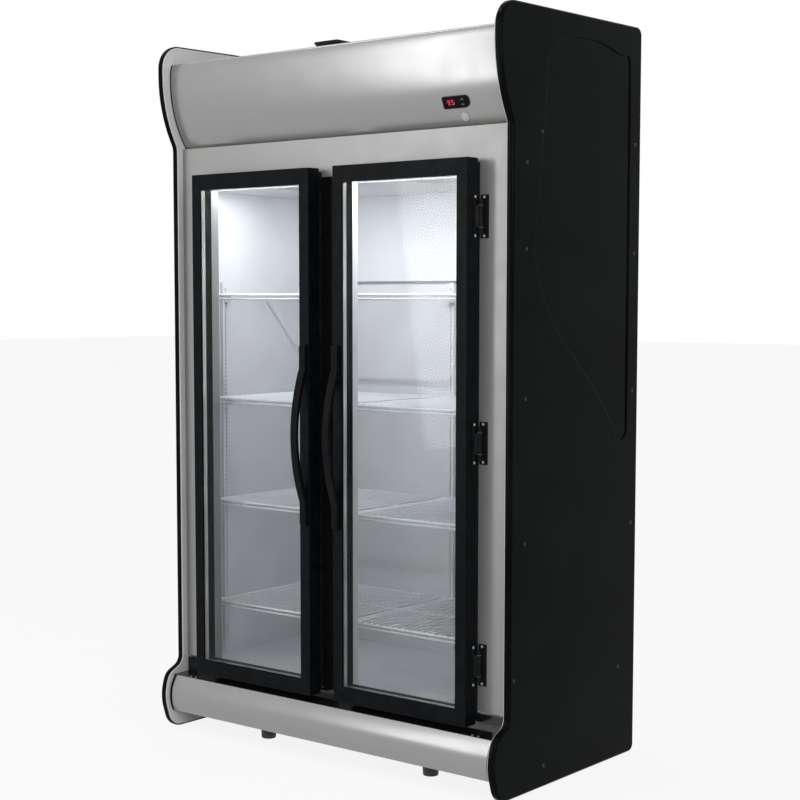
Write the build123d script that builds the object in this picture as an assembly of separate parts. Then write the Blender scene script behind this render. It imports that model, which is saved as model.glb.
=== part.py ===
from build123d import *

import math
import os

# Upright display refrigerator with two glass doors and an open machine compartment on top.
# Millimetres. X runs to the right, Y to the back, Z up from the floor.
# While the pieces are drawn, Y = 0 is the straight front edge of the side panels.
# The saved pieces are moved so that the origin lies under the middle of the whole object.

# Overall size, with the height taken at the front of the side panels
WIDTH = 1244.0
HEIGHT = 2060.0
REAR_Y = 629.0

# Clearances
SEAT_GAP = 0.3
SHAFT_CLEARANCE = 0.05
SCREW_CLEARANCE = 0.2
HOLE_CLEARANCE = 3.0

# Sheet metal
SHEET = 1.5
HEADER_SHEET = 1.2

# Moulded side panels: how far their front edge swells forward, and where
PANEL_THICKNESS = 18.0
PANEL_FACE = 7.5
PANEL_WALL = 3.5
PANEL_GROUND_GAP = 5.0
PANEL_RIM_ROUND = 8.0
PANEL_TOP_RISE = 8.0
HEAD_SWELL = 56.0
HEAD_SWELL_HEIGHT = 192.0
HEAD_BEND_HEIGHT = 300.0
FOOT_BEND_Z = 203.0
FOOT_SHOULDER_SWELL = 55.0
FOOT_SHOULDER_Z = 176.0
FOOT_SWELL = 78.0
FOOT_SWELL_Z = 112.0
TOE_SWELL = 46.0
OUTLINE_RADII = [30.0, 40.0, 130.0, 55.0, 22.0, 22.0, 70.0, 400.0, 40.0]

# Shallow relief in the side panels, placed from the front, rear, top and floor
RELIEF_DEPTH = 4.0
RELIEF_SOFT_EDGE = 3.0
RELIEF_CORNER_ROUND = 30.0
RELIEF_FRONT_Y = 103.0
RELIEF_REAR_MARGIN = 60.0
RELIEF_ARCH_START_DROP = 257.0
RELIEF_ARCH_SHOULDER_DROP = 130.0
RELIEF_ARCH_TOP_DROP = 63.0
RELIEF_ARCH_CORNER_DROP = 80.0
RELIEF_ARCH_END_DROP = 160.0
RELIEF_ARCH_START_SHARE = 0.10
RELIEF_ARCH_SHOULDER_SHARE = 0.13
RELIEF_ARCH_CROWN_SHARE = 0.72
RELIEF_ARCH_CORNER_SHARE = 0.94
RELIEF_WAVE_MIDDLE_SHARE = 0.45
RELIEF_WAVE_START_Z = 1431.0
RELIEF_WAVE_MIDDLE_Z = 1140.0
RELIEF_WAVE_END_Z = 800.0

# Side sheets with their rolled bead
SHEET_INSET = 4.0
BEAD_WIDTH = 5.0
BEAD_HEIGHT = 3.0
BEAD_REACH_Y = 14.0

# Side panel screws: drops are taken from the top, heights from the floor
SCREW_HEAD_RADIUS = 6.0
SCREW_HEAD_HEIGHT = 2.5
SCREW_SHANK_RADIUS = 2.0
SCREW_POCKET_DEPTH = 3.0
EDGE_SCREW_INSET = 65.0
REAR_SCREW_INSET = 30.0
FRONT_SCREW_DROP = 399.5
EDGE_SCREW_DROP = 620.0
EDGE_SCREW_HEIGHTS = [675.0, 1053.0]
CORNER_SCREW = (134.0, 317.0)
LOW_SCREW = (162.5, 64.0)
BEND_SCREW = (20.6, 320.0)
LOW_REAR_SCREW = (90.0, 268.0)

# Front frame
FRAME_SETBACK = 26.0
STILE_WIDTH = 115.5
THROAT_DEPTH = 34.0
MACHINE_HEIGHT = 301.5
TOP_RAIL_HEIGHT = 107.8
OPENING_BOTTOM_Z = 218.0
FRAME_SKIRT_RISE = 2.0
THRESHOLD_FALL = 10.0
THRESHOLD_LIP = 18.0
MULLION_WIDTH = 118.0
MULLION_COVER_WIDTH = 89.0
MULLION_COVER = 1.5

# Sill under the doors and the kick panel
SILL_REACH = 34.0
SILL_REAR_Z = 170.0
SILL_FRONT_Z = 168.0
SILL_RISER_TOP_Z = 213.0
SILL_LIP = 12.0
KICK_END_GAP = 13.7
KICK_TRIM_WIDTH = 8.5
KICK_FULLEST = 55.0
KICK_FULLEST_Z = 105.0
KICK_FOOT_REACH = 44.6
KICK_BOTTOM_Z = 61.0
KICK_FLANGE = 20.0
KICK_BRACKET_RISE = 2.0
SILL_SCREW_X = [519.0, 539.0]

# Header
HEADER_END_GAP = 5.5
HEADER_TRIM_WIDTH = 4.7
HEADER_RADIUS = 330.0
HEADER_FRONT = 24.0
HEADER_BULGE_DROP = 107.6
HEADER_TOP_DROP = 55.7
HEADER_TOP_REACH = 17.0
HEADER_TOP_BEND = 30.0
HEADER_FOOT_RISE = 2.0
HEADER_FLANGE = 22.0
HEADER_STRAIGHT = 5.0
HEADER_FOOT_BEND = 1.5
HEADER_SHOULDER_BEND = 90.0
HEADER_TOP_ROUND = 8.0
HEADER_LIP_BEND = 3.0
HEADER_TAB_X = [-440.0, 0.0, 440.0]
HEADER_TAB_WIDTH = 60.0
HEADER_TAB_INSET = 7.0
CUT_OUT_DEPTH = 30.0

# Doors
DOOR_OVERLAP_INNER = 14.8
DOOR_OVERLAP_OUTER = 16.7
DOOR_OVERLAP_TOP = 23.5
DOOR_OVERLAP_BOTTOM = 31.0
DOOR_THICKNESS = 47.0
GASKET_THICKNESS = 12.6
GASKET_WIDTH = 13.5
GASKET_GROOVE = 4.0
DOOR_STILE = 34.2
DOOR_TOP_RAIL = 45.0
DOOR_BOTTOM_RAIL = 45.0
DOOR_EDGE_ROUND = 2.0
MITRE_GAP = 0.2
GLAZING_LIP = 2.4
GLAZING_DEPTH = 12.0
GLAZING_CLEARANCE = 0.2
PANE = 3.0
PANE_GAP = 14.0
SPACER_WIDTH = 8.0
SPACER_SHOWING = 1.0

# Hinges
HINGE_HEIGHT = 112.0
HINGE_FROM_BOTTOM = 159.5
HINGE_FROM_TOP = 150.0
HINGE_TAB_HEIGHT = 11.0
HINGE_END_KNUCKLE = 16.0
PIVOT_OUTSET = 8.9
PIVOT_STANDOFF = 13.0
KNUCKLE_RADIUS = 7.5
WASHER_THICKNESS = 1.5
WASHER_GAP = 0.1
HINGE_WEB_WIDTH = 6.0
WEB_REACH = 0.8
WEB_RISE = 0.2
PIN_RADIUS = 3.5
LEAF_THICKNESS = 2.5
FRAME_LEAF_WIDTH = 24.0
FRAME_LEAF_START = 7.0
DOOR_LEAF_THICKNESS = 2.0
DOOR_LEAF_DEPTH = 15.5
DOOR_LEAF_CLEARANCE = 6.0
LEAF_SCREW_HEAD = 3.6
LEAF_SCREW_RISE = 1.3
LEAF_SCREW_EDGE = 13.0
LEAF_SCREW_SPREAD = 50.0

# Handles
HANDLE_FROM_DOOR_BOTTOM = 486.0
HANDLE_LENGTH = 513.0
HANDLE_PAD_LENGTH = 80.0
HANDLE_PAD_THICKNESS = 13.0
HANDLE_PROJECTION = 50.0
HANDLE_BOW_THICKNESS = 10.0
HANDLE_WIDTH = 23.0
HANDLE_ROUND = 3.5
HANDLE_TIP_ROUND = 9.0
HANDLE_INSET = 15.1

# Cabinet body and lining
SIDE_INSULATION = 39.0
BACK_INSULATION = 46.0
FLOOR_Z = 207.0
COVER_DROP = 125.5
LINER_TOP_DROP = 40.0

# Base frame and feet
BASE_Z = 65.0
BASE_HEIGHT = 55.0
BASE_BEAM = 40.0
FOOT_X = 307.0
FRONT_FOOT_Y = 74.0
REAR_FOOT_MARGIN = 64.0
FOOT_BOTTOM_RADIUS = 21.5
FOOT_TOP_RADIUS = 25.5
FOOT_ROUND = 3.0
STEM_RADIUS = 6.0
STEM_HOLD = 36.0
FOOT_TRAVEL = 12.0
FOOT_BOSS_RADIUS = 14.0
BEAM_WALL = 2.5

# Shelves
TOP_BAY = 305.0
BOTTOM_BAY = 186.0
SHELF_LEVELS = 4
SHELF_FRONT_Y = 90.0
SHELF_REAR_GAP = 15.0
SHELF_SIDE_GAP = 14.0
SHELF_CENTRE_GAP = 8.0
SHELF_WIRE_RADIUS = 2.0
SHELF_ROD_RADIUS = 3.0
SHELF_SIDE_ROD_RADIUS = 2.6
SHELF_WIRE_BITE = 1.4
SHELF_ROD_OVERHANG = 1.0
SHELF_WIRE_PITCH = 22.0
SHELF_LIP_DROP = 11.0
SHELF_LIP_TIE_EVERY = 6

# Slotted shelf rails and clips
RAIL_WIDTH = 22.0
RAIL_DEPTH = 12.0
RAIL_WALL = 2.0
RAIL_SLOT_PITCH = 12.7
RAIL_SLOT_WIDTH = 4.0
RAIL_SLOT_HEIGHT = 8.0
RAIL_FLOOR_GAP = 20.0
RAIL_TOP_GAP = 6.0
RAIL_FRONT_Y = 150.0
RAIL_REAR_MARGIN = 75.0
CLIP_LENGTH = 28.0
CLIP_HEIGHT = 18.0
CLIP_THICKNESS = 8.0
CENTRE_CLIP_WIDTH = 34.0

# Cooler above the ceiling cover, and the duct down the back wall
DUCT_PROUD = 20.0
DUCT_LENGTH = 266.0
COOLER_DEPTH = 170.0
COOLER_HEIGHT = 60.0
COOLER_FROM_BACK = 55.0
COOLER_HALF_WIDTH = 420.0
COOLER_END_PLATE = 3.0
FIN_PITCH = 14.0
FIN_THICKNESS = 4.0
FIN_SPINE = 6.0
TUBE_RADIUS = 4.5
BEND_RADIUS = 12.0
COOLER_RISE = 10.0
COOLER_FAN_X = 250.0
COOLER_FAN_Y = 100.0
COOLER_FAN_RADIUS = 75.0
COOLER_FAN_THICKNESS = 24.0
COOLER_FAN_RISE = 12.0
COOLER_MOTOR_RADIUS = 32.0
GUARD_SLOT = 7.0
GUARD_PITCH = 14.0

# Lamps behind the top rail
LAMP_HEIGHT = 12.0
LAMP_DEPTH = 22.0
LAMP_MARGIN = 8.0

# Condensing unit on the deck
CONDENSER_X = 200.0
CONDENSER_Y = 110.0
CONDENSER_WIDTH = 320.0
CONDENSER_HEIGHT = 240.0
CONDENSER_DEPTH = 60.0
SHROUD_DEPTH = 36.0
SHROUD_WALL = 2.0
FAN_RADIUS = 100.0
FAN_TIP_CLEARANCE = 7.0
FAN_THICKNESS = 26.0
FAN_MOTOR_RADIUS = 38.0
FAN_MOTOR_LENGTH = 55.0
FAN_MOTOR_GAP = 6.0
MOTOR_ARM = 12.0
SHAFT_RADIUS = 3.0
HUB_RADIUS = 28.0
FAN_BLADES = 5
BLADE_THICKNESS = 2.0
BLADE_PITCH_ANGLE = 28.0
BLADE_ROOT = 4.0
BLADE_WIDTH_OF_HUB = 1.25
COOLER_HUB_SHARE = 0.35
COMPRESSOR_X = -330.0
COMPRESSOR_FROM_REAR = 205.0
COMPRESSOR_RADIUS = 88.0
COMPRESSOR_HEIGHT = 190.0
COMPRESSOR_DOME = 50.0
COMPRESSOR_FOOT_SPAN = 78.0
COMPRESSOR_PLATE = 4.0
TERMINAL_COVER = 20.0
GROMMET_HEIGHT = 14.0
GROMMET_RADIUS = 12.0
BOX_LEFT_X = -137.0
BOX_RIGHT_X = -52.0
BOX_Y = 100.0
BOX_DEPTH = 60.0
BOX_TOP_DROP = 20.5
BOX_HEIGHT = 180.0
BOX_LID = 7.0
BOX_LID_OVERHANG = 3.0
BOX_STAND = 3.0
PIPE_RADIUS = 5.0
PIPE_BEND = 16.0
DRIER_RADIUS = 10.0
DRIER_LENGTH = 80.0
DRIER_OUTSET = 45.0
DRIER_SETBACK = 60.0
LIQUID_RISE = 30.0
LIQUID_PORT_FORWARD = 15.0
DISCHARGE_SHARE = 0.6
SUCTION_SHARE = 0.4
PIPE_INSET = 50.0
LIQUID_PIPE_INSET = 30.0

# Control panel
CONTROL_FROM_SIDE = 182.2
CONTROL_DROP = 239.6
CONTROL_WIDTH = 83.0
CONTROL_HEIGHT = 33.0
CONTROL_BEZEL = 5.0
CONTROL_BODY_MARGIN = 4.0
CONTROL_BODY_DEPTH = 55.0
CONTROL_LEFT_ROUND = 5.0
CONTROL_RIGHT_ROUND = 14.0
CONTROL_RIM_ROUND = 1.2
DISPLAY_WIDTH = 36.0
DISPLAY_HEIGHT = 19.0
DISPLAY_OFFSET = 13.0
DISPLAY_RECESS = 0.8
KEY_WIDTH = 13.0
KEY_HEIGHT = 8.0
KEY_OFFSET = 23.0
KEY_SPREAD = 6.5
KEY_PROUD = 0.6
KEY_TRAVEL = 0.8
KEY_CLEARANCE = 0.2
KEY_CORNER_ROUND = 1.5
KEY_TOP_ROUND = 0.4
SWITCH_FROM_SIDE = 167.3
SWITCH_DROP = 277.0
SWITCH_RING_RADIUS = 12.5
SWITCH_RING_RISE = 2.5
SWITCH_BODY_RADIUS = 9.5
SWITCH_BODY_DEPTH = 26.0
SWITCH_BUTTON_RADIUS = 8.0
SWITCH_PROUD = 4.5
SWITCH_TRAVEL = 3.0
SWITCH_WALL = 2.0
SWITCH_RING_ROUND = 1.0
SWITCH_BUTTON_ROUND = 1.5

# Rear grille, back panel and drain
GRILLE_TOP_DROP = 30.0
LOUVRE_HEIGHT = 8.0
LOUVRE_PITCH = 22.0
LOUVRE_LENGTH = 420.0
LOUVRE_COUNT = 9
LOUVRE_BANK_GAP = 84.0
GLAND_X = 520.0
GLAND_RADIUS = 11.0
GLAND_LENGTH = 14.0
GLAND_WALL = 5.0
GLAND_LEDGE = 3.0
DRAIN_X = 180.0
DRAIN_RADIUS = 8.0
TRAY_HALF_WIDTH = 230.0
TRAY_DEPTH = 200.0
TRAY_HEIGHT = 32.0
TRAY_WALL = 2.0
TRAY_REAR_MARGIN = 110.0
RUNNER = 3.0

# Levels and planes worked out from the sizes above
PANEL_X = WIDTH / 2 - PANEL_THICKNESS
BODY_X = PANEL_X - SHEET
LINER_OUT_X = BODY_X - SIDE_INSULATION
LINER_X = LINER_OUT_X - SHEET
OPENING_X = BODY_X - STILE_WIDTH
MULLION_X = MULLION_WIDTH / 2
FACE_Y = FRAME_SETBACK
THROAT_Y = FACE_Y + THROAT_DEPTH
BACK_SHEET_Y = REAR_Y - SHEET
LINER_BACK_OUT_Y = BACK_SHEET_Y - BACK_INSULATION
LINER_BACK_Y = LINER_BACK_OUT_Y - SHEET
DECK_Z = HEIGHT - MACHINE_HEIGHT
OPENING_TOP_Z = DECK_Z - TOP_RAIL_HEIGHT
COVER_Z = DECK_Z - COVER_DROP
LINER_TOP_Z = DECK_Z - LINER_TOP_DROP
BASE_TOP_Z = BASE_Z + BASE_HEIGHT
REAR_FOOT_Y = REAR_Y - REAR_FOOT_MARGIN
STEM_LENGTH = STEM_HOLD + FOOT_TRAVEL
DUCT_Y = LINER_BACK_Y - DUCT_PROUD
DUCT_BOTTOM_Z = COVER_Z - DUCT_LENGTH

DOOR_INNER_X = MULLION_X - DOOR_OVERLAP_INNER
DOOR_OUTER_X = OPENING_X + DOOR_OVERLAP_OUTER
DOOR_BOTTOM_Z = OPENING_BOTTOM_Z - DOOR_OVERLAP_BOTTOM
DOOR_TOP_Z = OPENING_TOP_Z + DOOR_OVERLAP_TOP
DOOR_BACK_Y = FACE_Y - GASKET_THICKNESS
DOOR_FRONT_Y = DOOR_BACK_Y - DOOR_THICKNESS
PANE_FRONT_Y = DOOR_FRONT_Y + GLAZING_LIP + GLAZING_CLEARANCE
GLAZING_THICKNESS = 2 * PANE + PANE_GAP

PIVOT_X = DOOR_OUTER_X + PIVOT_OUTSET
PIVOT_Y = FACE_Y - PIVOT_STANDOFF
HINGE_LOW_Z = DOOR_BOTTOM_Z + HINGE_FROM_BOTTOM
HINGE_HIGH_Z = DOOR_TOP_Z - HINGE_FROM_TOP
HINGE_LEVELS = [HINGE_LOW_Z, (HINGE_LOW_Z + HINGE_HIGH_Z) / 2, HINGE_HIGH_Z]

HANDLE_X = DOOR_INNER_X + HANDLE_INSET
HANDLE_BOTTOM_Z = DOOR_BOTTOM_Z + HANDLE_FROM_DOOR_BOTTOM
HANDLE_TOP_Z = HANDLE_BOTTOM_Z + HANDLE_LENGTH
HANDLE_FRONT_Y = DOOR_FRONT_Y - HANDLE_PROJECTION

TOP_SHELF_Z = COVER_Z - TOP_BAY
BOTTOM_SHELF_Z = FLOOR_Z + BOTTOM_BAY
SHELF_PITCH = (TOP_SHELF_Z - BOTTOM_SHELF_Z) / (SHELF_LEVELS - 1)
SHELF_REAR_Y = LINER_BACK_Y - SHELF_REAR_GAP
RAIL_REAR_Y = LINER_BACK_Y - RAIL_REAR_MARGIN
SHELF_DEPTH_BELOW = 2 * SHELF_WIRE_RADIUS + 2 * SHELF_ROD_RADIUS - SHELF_WIRE_BITE

COOLER_REAR_Y = LINER_BACK_Y - COOLER_FROM_BACK
COOLER_FRONT_Y = COOLER_REAR_Y - COOLER_DEPTH
COOLER_Z = COVER_Z + SHEET + COOLER_RISE
COOLER_END_X = COOLER_HALF_WIDTH + COOLER_END_PLATE
COOLER_FAN_CENTRE_Y = THROAT_Y + COOLER_FAN_Y
COOLER_FAN_Z = COVER_Z + SHEET + COOLER_FAN_RISE
SUCTION_X = COOLER_HALF_WIDTH + PIPE_INSET
LIQUID_X = COOLER_HALF_WIDTH + LIQUID_PIPE_INSET
SUCTION_Y = COOLER_FRONT_Y + PIPE_INSET
LIQUID_Y = COOLER_REAR_Y - PIPE_INSET
PIPE_DROP_Z = COOLER_Z + COOLER_HEIGHT / 2

HEADER_X = BODY_X - HEADER_END_GAP
HEADER_BULGE_Z = HEIGHT - HEADER_BULGE_DROP
HEADER_CENTRE_Y = HEADER_RADIUS - HEADER_FRONT
HEADER_FOOT_Z = DECK_Z + HEADER_FOOT_RISE
KICK_X = BODY_X - KICK_END_GAP
CONTROL_X = WIDTH / 2 - CONTROL_FROM_SIDE
CONTROL_Z = HEIGHT - CONTROL_DROP
SWITCH_X = WIDTH / 2 - SWITCH_FROM_SIDE
SWITCH_Z = HEIGHT - SWITCH_DROP

CONDENSER_Z = DECK_Z
CONDENSER_BACK_Y = CONDENSER_Y + CONDENSER_DEPTH
SHROUD_BACK_Y = CONDENSER_BACK_Y + SHROUD_DEPTH
FAN_Z = CONDENSER_Z + CONDENSER_HEIGHT / 2
FAN_MIDDLE_Y = SHROUD_BACK_Y
COMPRESSOR_Y = REAR_Y - COMPRESSOR_FROM_REAR

FRONT_MOST_Y = min(HANDLE_FRONT_Y, -FOOT_SWELL)
CENTRE_Y = (FRONT_MOST_Y + REAR_Y) / 2


def block(x0, x1, y0, y1, z0, z1):
    """A box between two corners."""
    middle = Pos((x0 + x1) / 2, (y0 + y1) / 2, (z0 + z1) / 2)
    return middle * Box(x1 - x0, y1 - y0, z1 - z0)


def rod(start, end, radius):
    """A round bar from one point to another."""
    line = Vector(*end) - Vector(*start)
    return extrude(Plane(origin=start, z_dir=line) * Circle(radius), line.length)


def along_x(sketch, x0, x1):
    """A section drawn in (y, z), pushed along X."""
    return extrude(Plane.YZ.offset(x0) * sketch, x1 - x0)


def along_z(sketch, z0, z1):
    """A section drawn in (x, y), pushed up."""
    return extrude(Plane.XY.offset(z0) * sketch, z1 - z0)


def folded(path, thickness, x0, x1, side=Side.RIGHT):
    """Sheet metal folded along a path in (y, z)."""
    return along_x(make_face(offset(path, thickness, side=side)), x0, x1)


def flipped(shape):
    """The same piece on the other side of the cabinet."""
    return mirror(shape, about=Plane.YZ)


def on_both_sides(*shapes):
    """A right-hand set of pieces and its left-hand twin."""
    return [*shapes, *[flipped(shape) for shape in shapes]]


def save(node, *shapes):
    """Writes one node, moved so that the origin is under the middle of the object."""
    solids = [solid for shape in shapes for solid in shape.solids()]
    moved = [Pos(0, -CENTRE_Y, 0) * solid for solid in solids]
    whole = moved[0] if len(moved) == 1 else Compound(moved)
    export_step(whole, f"parts/{node}.step")


# Side panels and side sheets
def side_outline():
    """The outline of a side panel in (y, z)."""
    corners = [
        (0, FOOT_BEND_Z),
        (-FOOT_SHOULDER_SWELL, FOOT_SHOULDER_Z),
        (-FOOT_SWELL, FOOT_SWELL_Z),
        (-TOE_SWELL, PANEL_GROUND_GAP),
        (REAR_Y, PANEL_GROUND_GAP),
        (REAR_Y, HEIGHT + PANEL_TOP_RISE),
        (-HEAD_SWELL, HEIGHT),
        (-HEAD_SWELL, HEIGHT - HEAD_SWELL_HEIGHT),
        (0, HEIGHT - HEAD_BEND_HEIGHT),
    ]
    return make_face(FilletPolyline(*corners, radius=OUTLINE_RADII, close=True))


def relief_outline():
    """The sail-shaped sunken field of a side panel: an arch above a long wave."""
    rear = REAR_Y - RELIEF_REAR_MARGIN
    width = rear - RELIEF_FRONT_Y
    arch_front = (RELIEF_FRONT_Y + RELIEF_ARCH_START_SHARE * width, HEIGHT - RELIEF_ARCH_START_DROP)
    arch_rear = (rear, HEIGHT - RELIEF_ARCH_END_DROP)
    wave_front = (RELIEF_FRONT_Y, RELIEF_WAVE_START_Z)
    wave_rear = (rear, RELIEF_WAVE_END_Z)
    arch = Spline(
        arch_front,
        (RELIEF_FRONT_Y + RELIEF_ARCH_SHOULDER_SHARE * width, HEIGHT - RELIEF_ARCH_SHOULDER_DROP),
        (RELIEF_FRONT_Y + RELIEF_ARCH_CROWN_SHARE * width, HEIGHT - RELIEF_ARCH_TOP_DROP),
        (RELIEF_FRONT_Y + RELIEF_ARCH_CORNER_SHARE * width, HEIGHT - RELIEF_ARCH_CORNER_DROP),
        arch_rear,
        tangents=[(0.12, 1), (0, -1)],
    )
    wave = Spline(
        wave_rear,
        (RELIEF_FRONT_Y + RELIEF_WAVE_MIDDLE_SHARE * width, RELIEF_WAVE_MIDDLE_Z),
        wave_front,
        tangents=[(-0.25, 1), (-0.2, 1)],
    )
    rear_line = Line(arch_rear, wave_rear)
    front_line = Line(wave_front, arch_front)
    return make_face(arch + rear_line + wave + front_line)


def screw_places():
    """Where the side panel screws sit, as (y, z)."""
    heights = [*EDGE_SCREW_HEIGHTS, HEIGHT - EDGE_SCREW_DROP]
    places = [(EDGE_SCREW_INSET, z) for z in [*heights, HEIGHT - FRONT_SCREW_DROP]]
    places += [(REAR_Y - REAR_SCREW_INSET, z) for z in heights]
    places.append((CORNER_SCREW[0], HEIGHT - CORNER_SCREW[1]))
    places.append((REAR_Y - REAR_SCREW_INSET, HEIGHT - CORNER_SCREW[1]))
    places.append(LOW_SCREW)
    places.append(BEND_SCREW)
    places.append((REAR_Y - LOW_REAR_SCREW[0], LOW_REAR_SCREW[1]))
    return places


def side_panel():
    """Right-hand moulded panel: a shallow shell with a rounded rim and a sunken relief."""
    outline = side_outline()
    outer_x = PANEL_X + PANEL_THICKNESS
    slab = along_x(outline, PANEL_X, outer_x)
    rim = [edge for edge in slab.edges() if abs(edge.center().X - outer_x) < 0.001]
    slab = fillet(rim, PANEL_RIM_ROUND)
    hollow = along_x(offset(outline, -PANEL_WALL), PANEL_X, outer_x - PANEL_FACE)
    relief = along_x(relief_outline(), outer_x - RELIEF_DEPTH, outer_x)
    relief = fillet(relief.edges().filter_by(Axis.X), RELIEF_CORNER_ROUND)
    shell = slab - relief
    on_face = [edge for edge in shell.edges() if abs(edge.center().X - outer_x) < 0.001]
    shell = fillet([edge for edge in on_face if is_in_relief(edge)], RELIEF_SOFT_EDGE)
    shell = shell - hollow
    for y, z in screw_places():
        pocket = rod((outer_x - SCREW_POCKET_DEPTH, y, z), (outer_x + 1, y, z), SCREW_HEAD_RADIUS + 1)
        hole = rod((PANEL_X, y, z), (outer_x, y, z), SCREW_SHANK_RADIUS + SCREW_CLEARANCE)
        shell = shell - pocket - hole
    return shell


def is_in_relief(edge):
    """Whether an edge of the outer face belongs to the relief and not to the rim."""
    middle = edge @ 0.5
    inner_front = RELIEF_FRONT_Y - 1
    inner_rear = REAR_Y - RELIEF_REAR_MARGIN + 1
    is_high_enough = FOOT_BEND_Z < middle.Z < HEIGHT - RELIEF_CORNER_ROUND
    return inner_front < middle.Y < inner_rear and is_high_enough


def side_sheet():
    """Right-hand painted side sheet with the rolled bead along its front edge."""
    outline = side_outline()
    sheet = along_x(offset(outline, -SHEET_INSET), BODY_X, PANEL_X)
    outer = offset(outline, -SHEET_INSET)
    inner = offset(outline, -SHEET_INSET - BEAD_WIDTH)
    bead = along_x(outer - inner, BODY_X - BEAD_HEIGHT, BODY_X)
    window = block(0, WIDTH, -HEAD_SWELL - FOOT_SWELL, BEAD_REACH_Y, BASE_Z, HEIGHT + PANEL_TOP_RISE)
    return sheet + (bead & window)


def panel_screws():
    """Pan-head screws that hold the right-hand side panel to the side sheet."""
    outer_x = PANEL_X + PANEL_THICKNESS
    seat = outer_x - SCREW_POCKET_DEPTH
    screws = []
    for y, z in screw_places():
        head = rod((seat, y, z), (seat + SCREW_HEAD_HEIGHT, y, z), SCREW_HEAD_RADIUS)
        shank = rod((PANEL_X, y, z), (seat, y, z), SCREW_SHANK_RADIUS)
        screws.append(head + shank)
    return screws


def sill_screws():
    """Small screws that hold the sill to the kick panel, right-hand side."""
    y = -SILL_REACH + SILL_LIP
    slope = sill_height(y + 1) - sill_height(y)
    heads = []
    for x in SILL_SCREW_X:
        seat = Plane(origin=(x, y, sill_height(y)), x_dir=(1, 0, 0), z_dir=(0, -slope, 1))
        heads.append(extrude(seat * Circle(LEAF_SCREW_HEAD), LEAF_SCREW_RISE))
    return heads


# Front frame
def frame_stile():
    """Right-hand stile of the front frame: face, jamb and back return."""
    section = Polyline(
        (OPENING_X, FACE_Y),
        (BODY_X, FACE_Y),
        (BODY_X, FACE_Y + SHEET),
        (OPENING_X + SHEET, FACE_Y + SHEET),
        (OPENING_X + SHEET, THROAT_Y - SHEET),
        (LINER_OUT_X, THROAT_Y - SHEET),
        (LINER_OUT_X, THROAT_Y),
        (OPENING_X, THROAT_Y),
        close=True,
    )
    return along_z(make_face(section), OPENING_BOTTOM_Z + FRAME_SKIRT_RISE, DECK_Z)


def top_rail():
    """Top rail of the front frame, with the lintel over the doors."""
    section = Polyline(
        (FACE_Y, OPENING_TOP_Z),
        (THROAT_Y, OPENING_TOP_Z),
        (THROAT_Y, LINER_TOP_Z),
        (THROAT_Y - SHEET, LINER_TOP_Z),
        (THROAT_Y - SHEET, OPENING_TOP_Z + SHEET),
        (FACE_Y + SHEET, OPENING_TOP_Z + SHEET),
        (FACE_Y + SHEET, DECK_Z - SHEET),
        (THROAT_Y, DECK_Z - SHEET),
        (THROAT_Y, DECK_Z),
        (FACE_Y, DECK_Z),
        close=True,
    )
    return along_x(make_face(section), -OPENING_X, OPENING_X)


def bottom_rail():
    """Threshold of the door opening, sloping down into the cabinet."""
    section = Polyline(
        (FACE_Y, OPENING_BOTTOM_Z - THRESHOLD_LIP),
        (FACE_Y, OPENING_BOTTOM_Z),
        (THROAT_Y, OPENING_BOTTOM_Z - THRESHOLD_FALL),
        (THROAT_Y, OPENING_BOTTOM_Z - THRESHOLD_FALL - SHEET),
        (FACE_Y + SHEET, OPENING_BOTTOM_Z - SHEET - THRESHOLD_FALL * SHEET / THROAT_DEPTH),
        (FACE_Y + SHEET, OPENING_BOTTOM_Z - THRESHOLD_LIP),
        close=True,
    )
    return along_x(make_face(section), -OPENING_X, OPENING_X)


def sill_height(y):
    """Height of the sill's upper face at a distance back."""
    share = (y + SILL_REACH) / (FACE_Y + SILL_REACH)
    return SILL_FRONT_Z + share * (SILL_REAR_Z - SILL_FRONT_Z)


def sill_strip():
    """Black sill between the frame and the kick panel."""
    riser_y = FACE_Y + SHEET + SEAT_GAP
    front_y = -SILL_REACH + HEADER_SHEET + SEAT_GAP
    path = Polyline(
        (riser_y, SILL_RISER_TOP_Z),
        (riser_y, sill_height(riser_y)),
        (front_y, sill_height(front_y)),
        (front_y, sill_height(front_y) - SILL_LIP),
    )
    return folded(path, SHEET, -BODY_X, BODY_X, Side.LEFT)


def mullion():
    """Fixed post between the doors: a channel, and a cover plate that runs down over the threshold."""
    bottom = OPENING_BOTTOM_Z
    top = OPENING_TOP_Z
    post = block(-MULLION_X, MULLION_X, FACE_Y, THROAT_Y - SHEET, bottom, top)
    hollow_x = MULLION_X - SHEET
    hollow = block(-hollow_x, hollow_x, FACE_Y + SHEET, THROAT_Y, bottom, top)
    lip_x = MULLION_X - 4 * SHEET
    lips = block(-hollow_x, hollow_x, THROAT_Y - 2 * SHEET, THROAT_Y - SHEET, bottom, top)
    lips = lips - block(-lip_x, lip_x, THROAT_Y - 2 * SHEET, THROAT_Y - SHEET, bottom, top)
    cover_x = MULLION_COVER_WIDTH / 2
    cover = block(-cover_x, cover_x, FACE_Y - MULLION_COVER, FACE_Y, bottom - THRESHOLD_LIP, top)
    return [post - hollow + lips, cover]


# Header and kick panel
def header_point(z):
    """Where the header's face is at a height, and how far it leans, in degrees."""
    drop = HEADER_BULGE_Z - z
    y = HEADER_CENTRE_Y - math.sqrt(HEADER_RADIUS**2 - drop**2)
    return y, math.degrees(math.asin(drop / HEADER_RADIUS))


def header_plane(x, z):
    """A plane on the header's face: its own Z points out of the face."""
    y, lean = header_point(z)
    angle = math.radians(lean)
    return Plane(origin=(x, y, z), x_dir=(1, 0, 0), z_dir=(0, -math.cos(angle), -math.sin(angle)))


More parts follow.
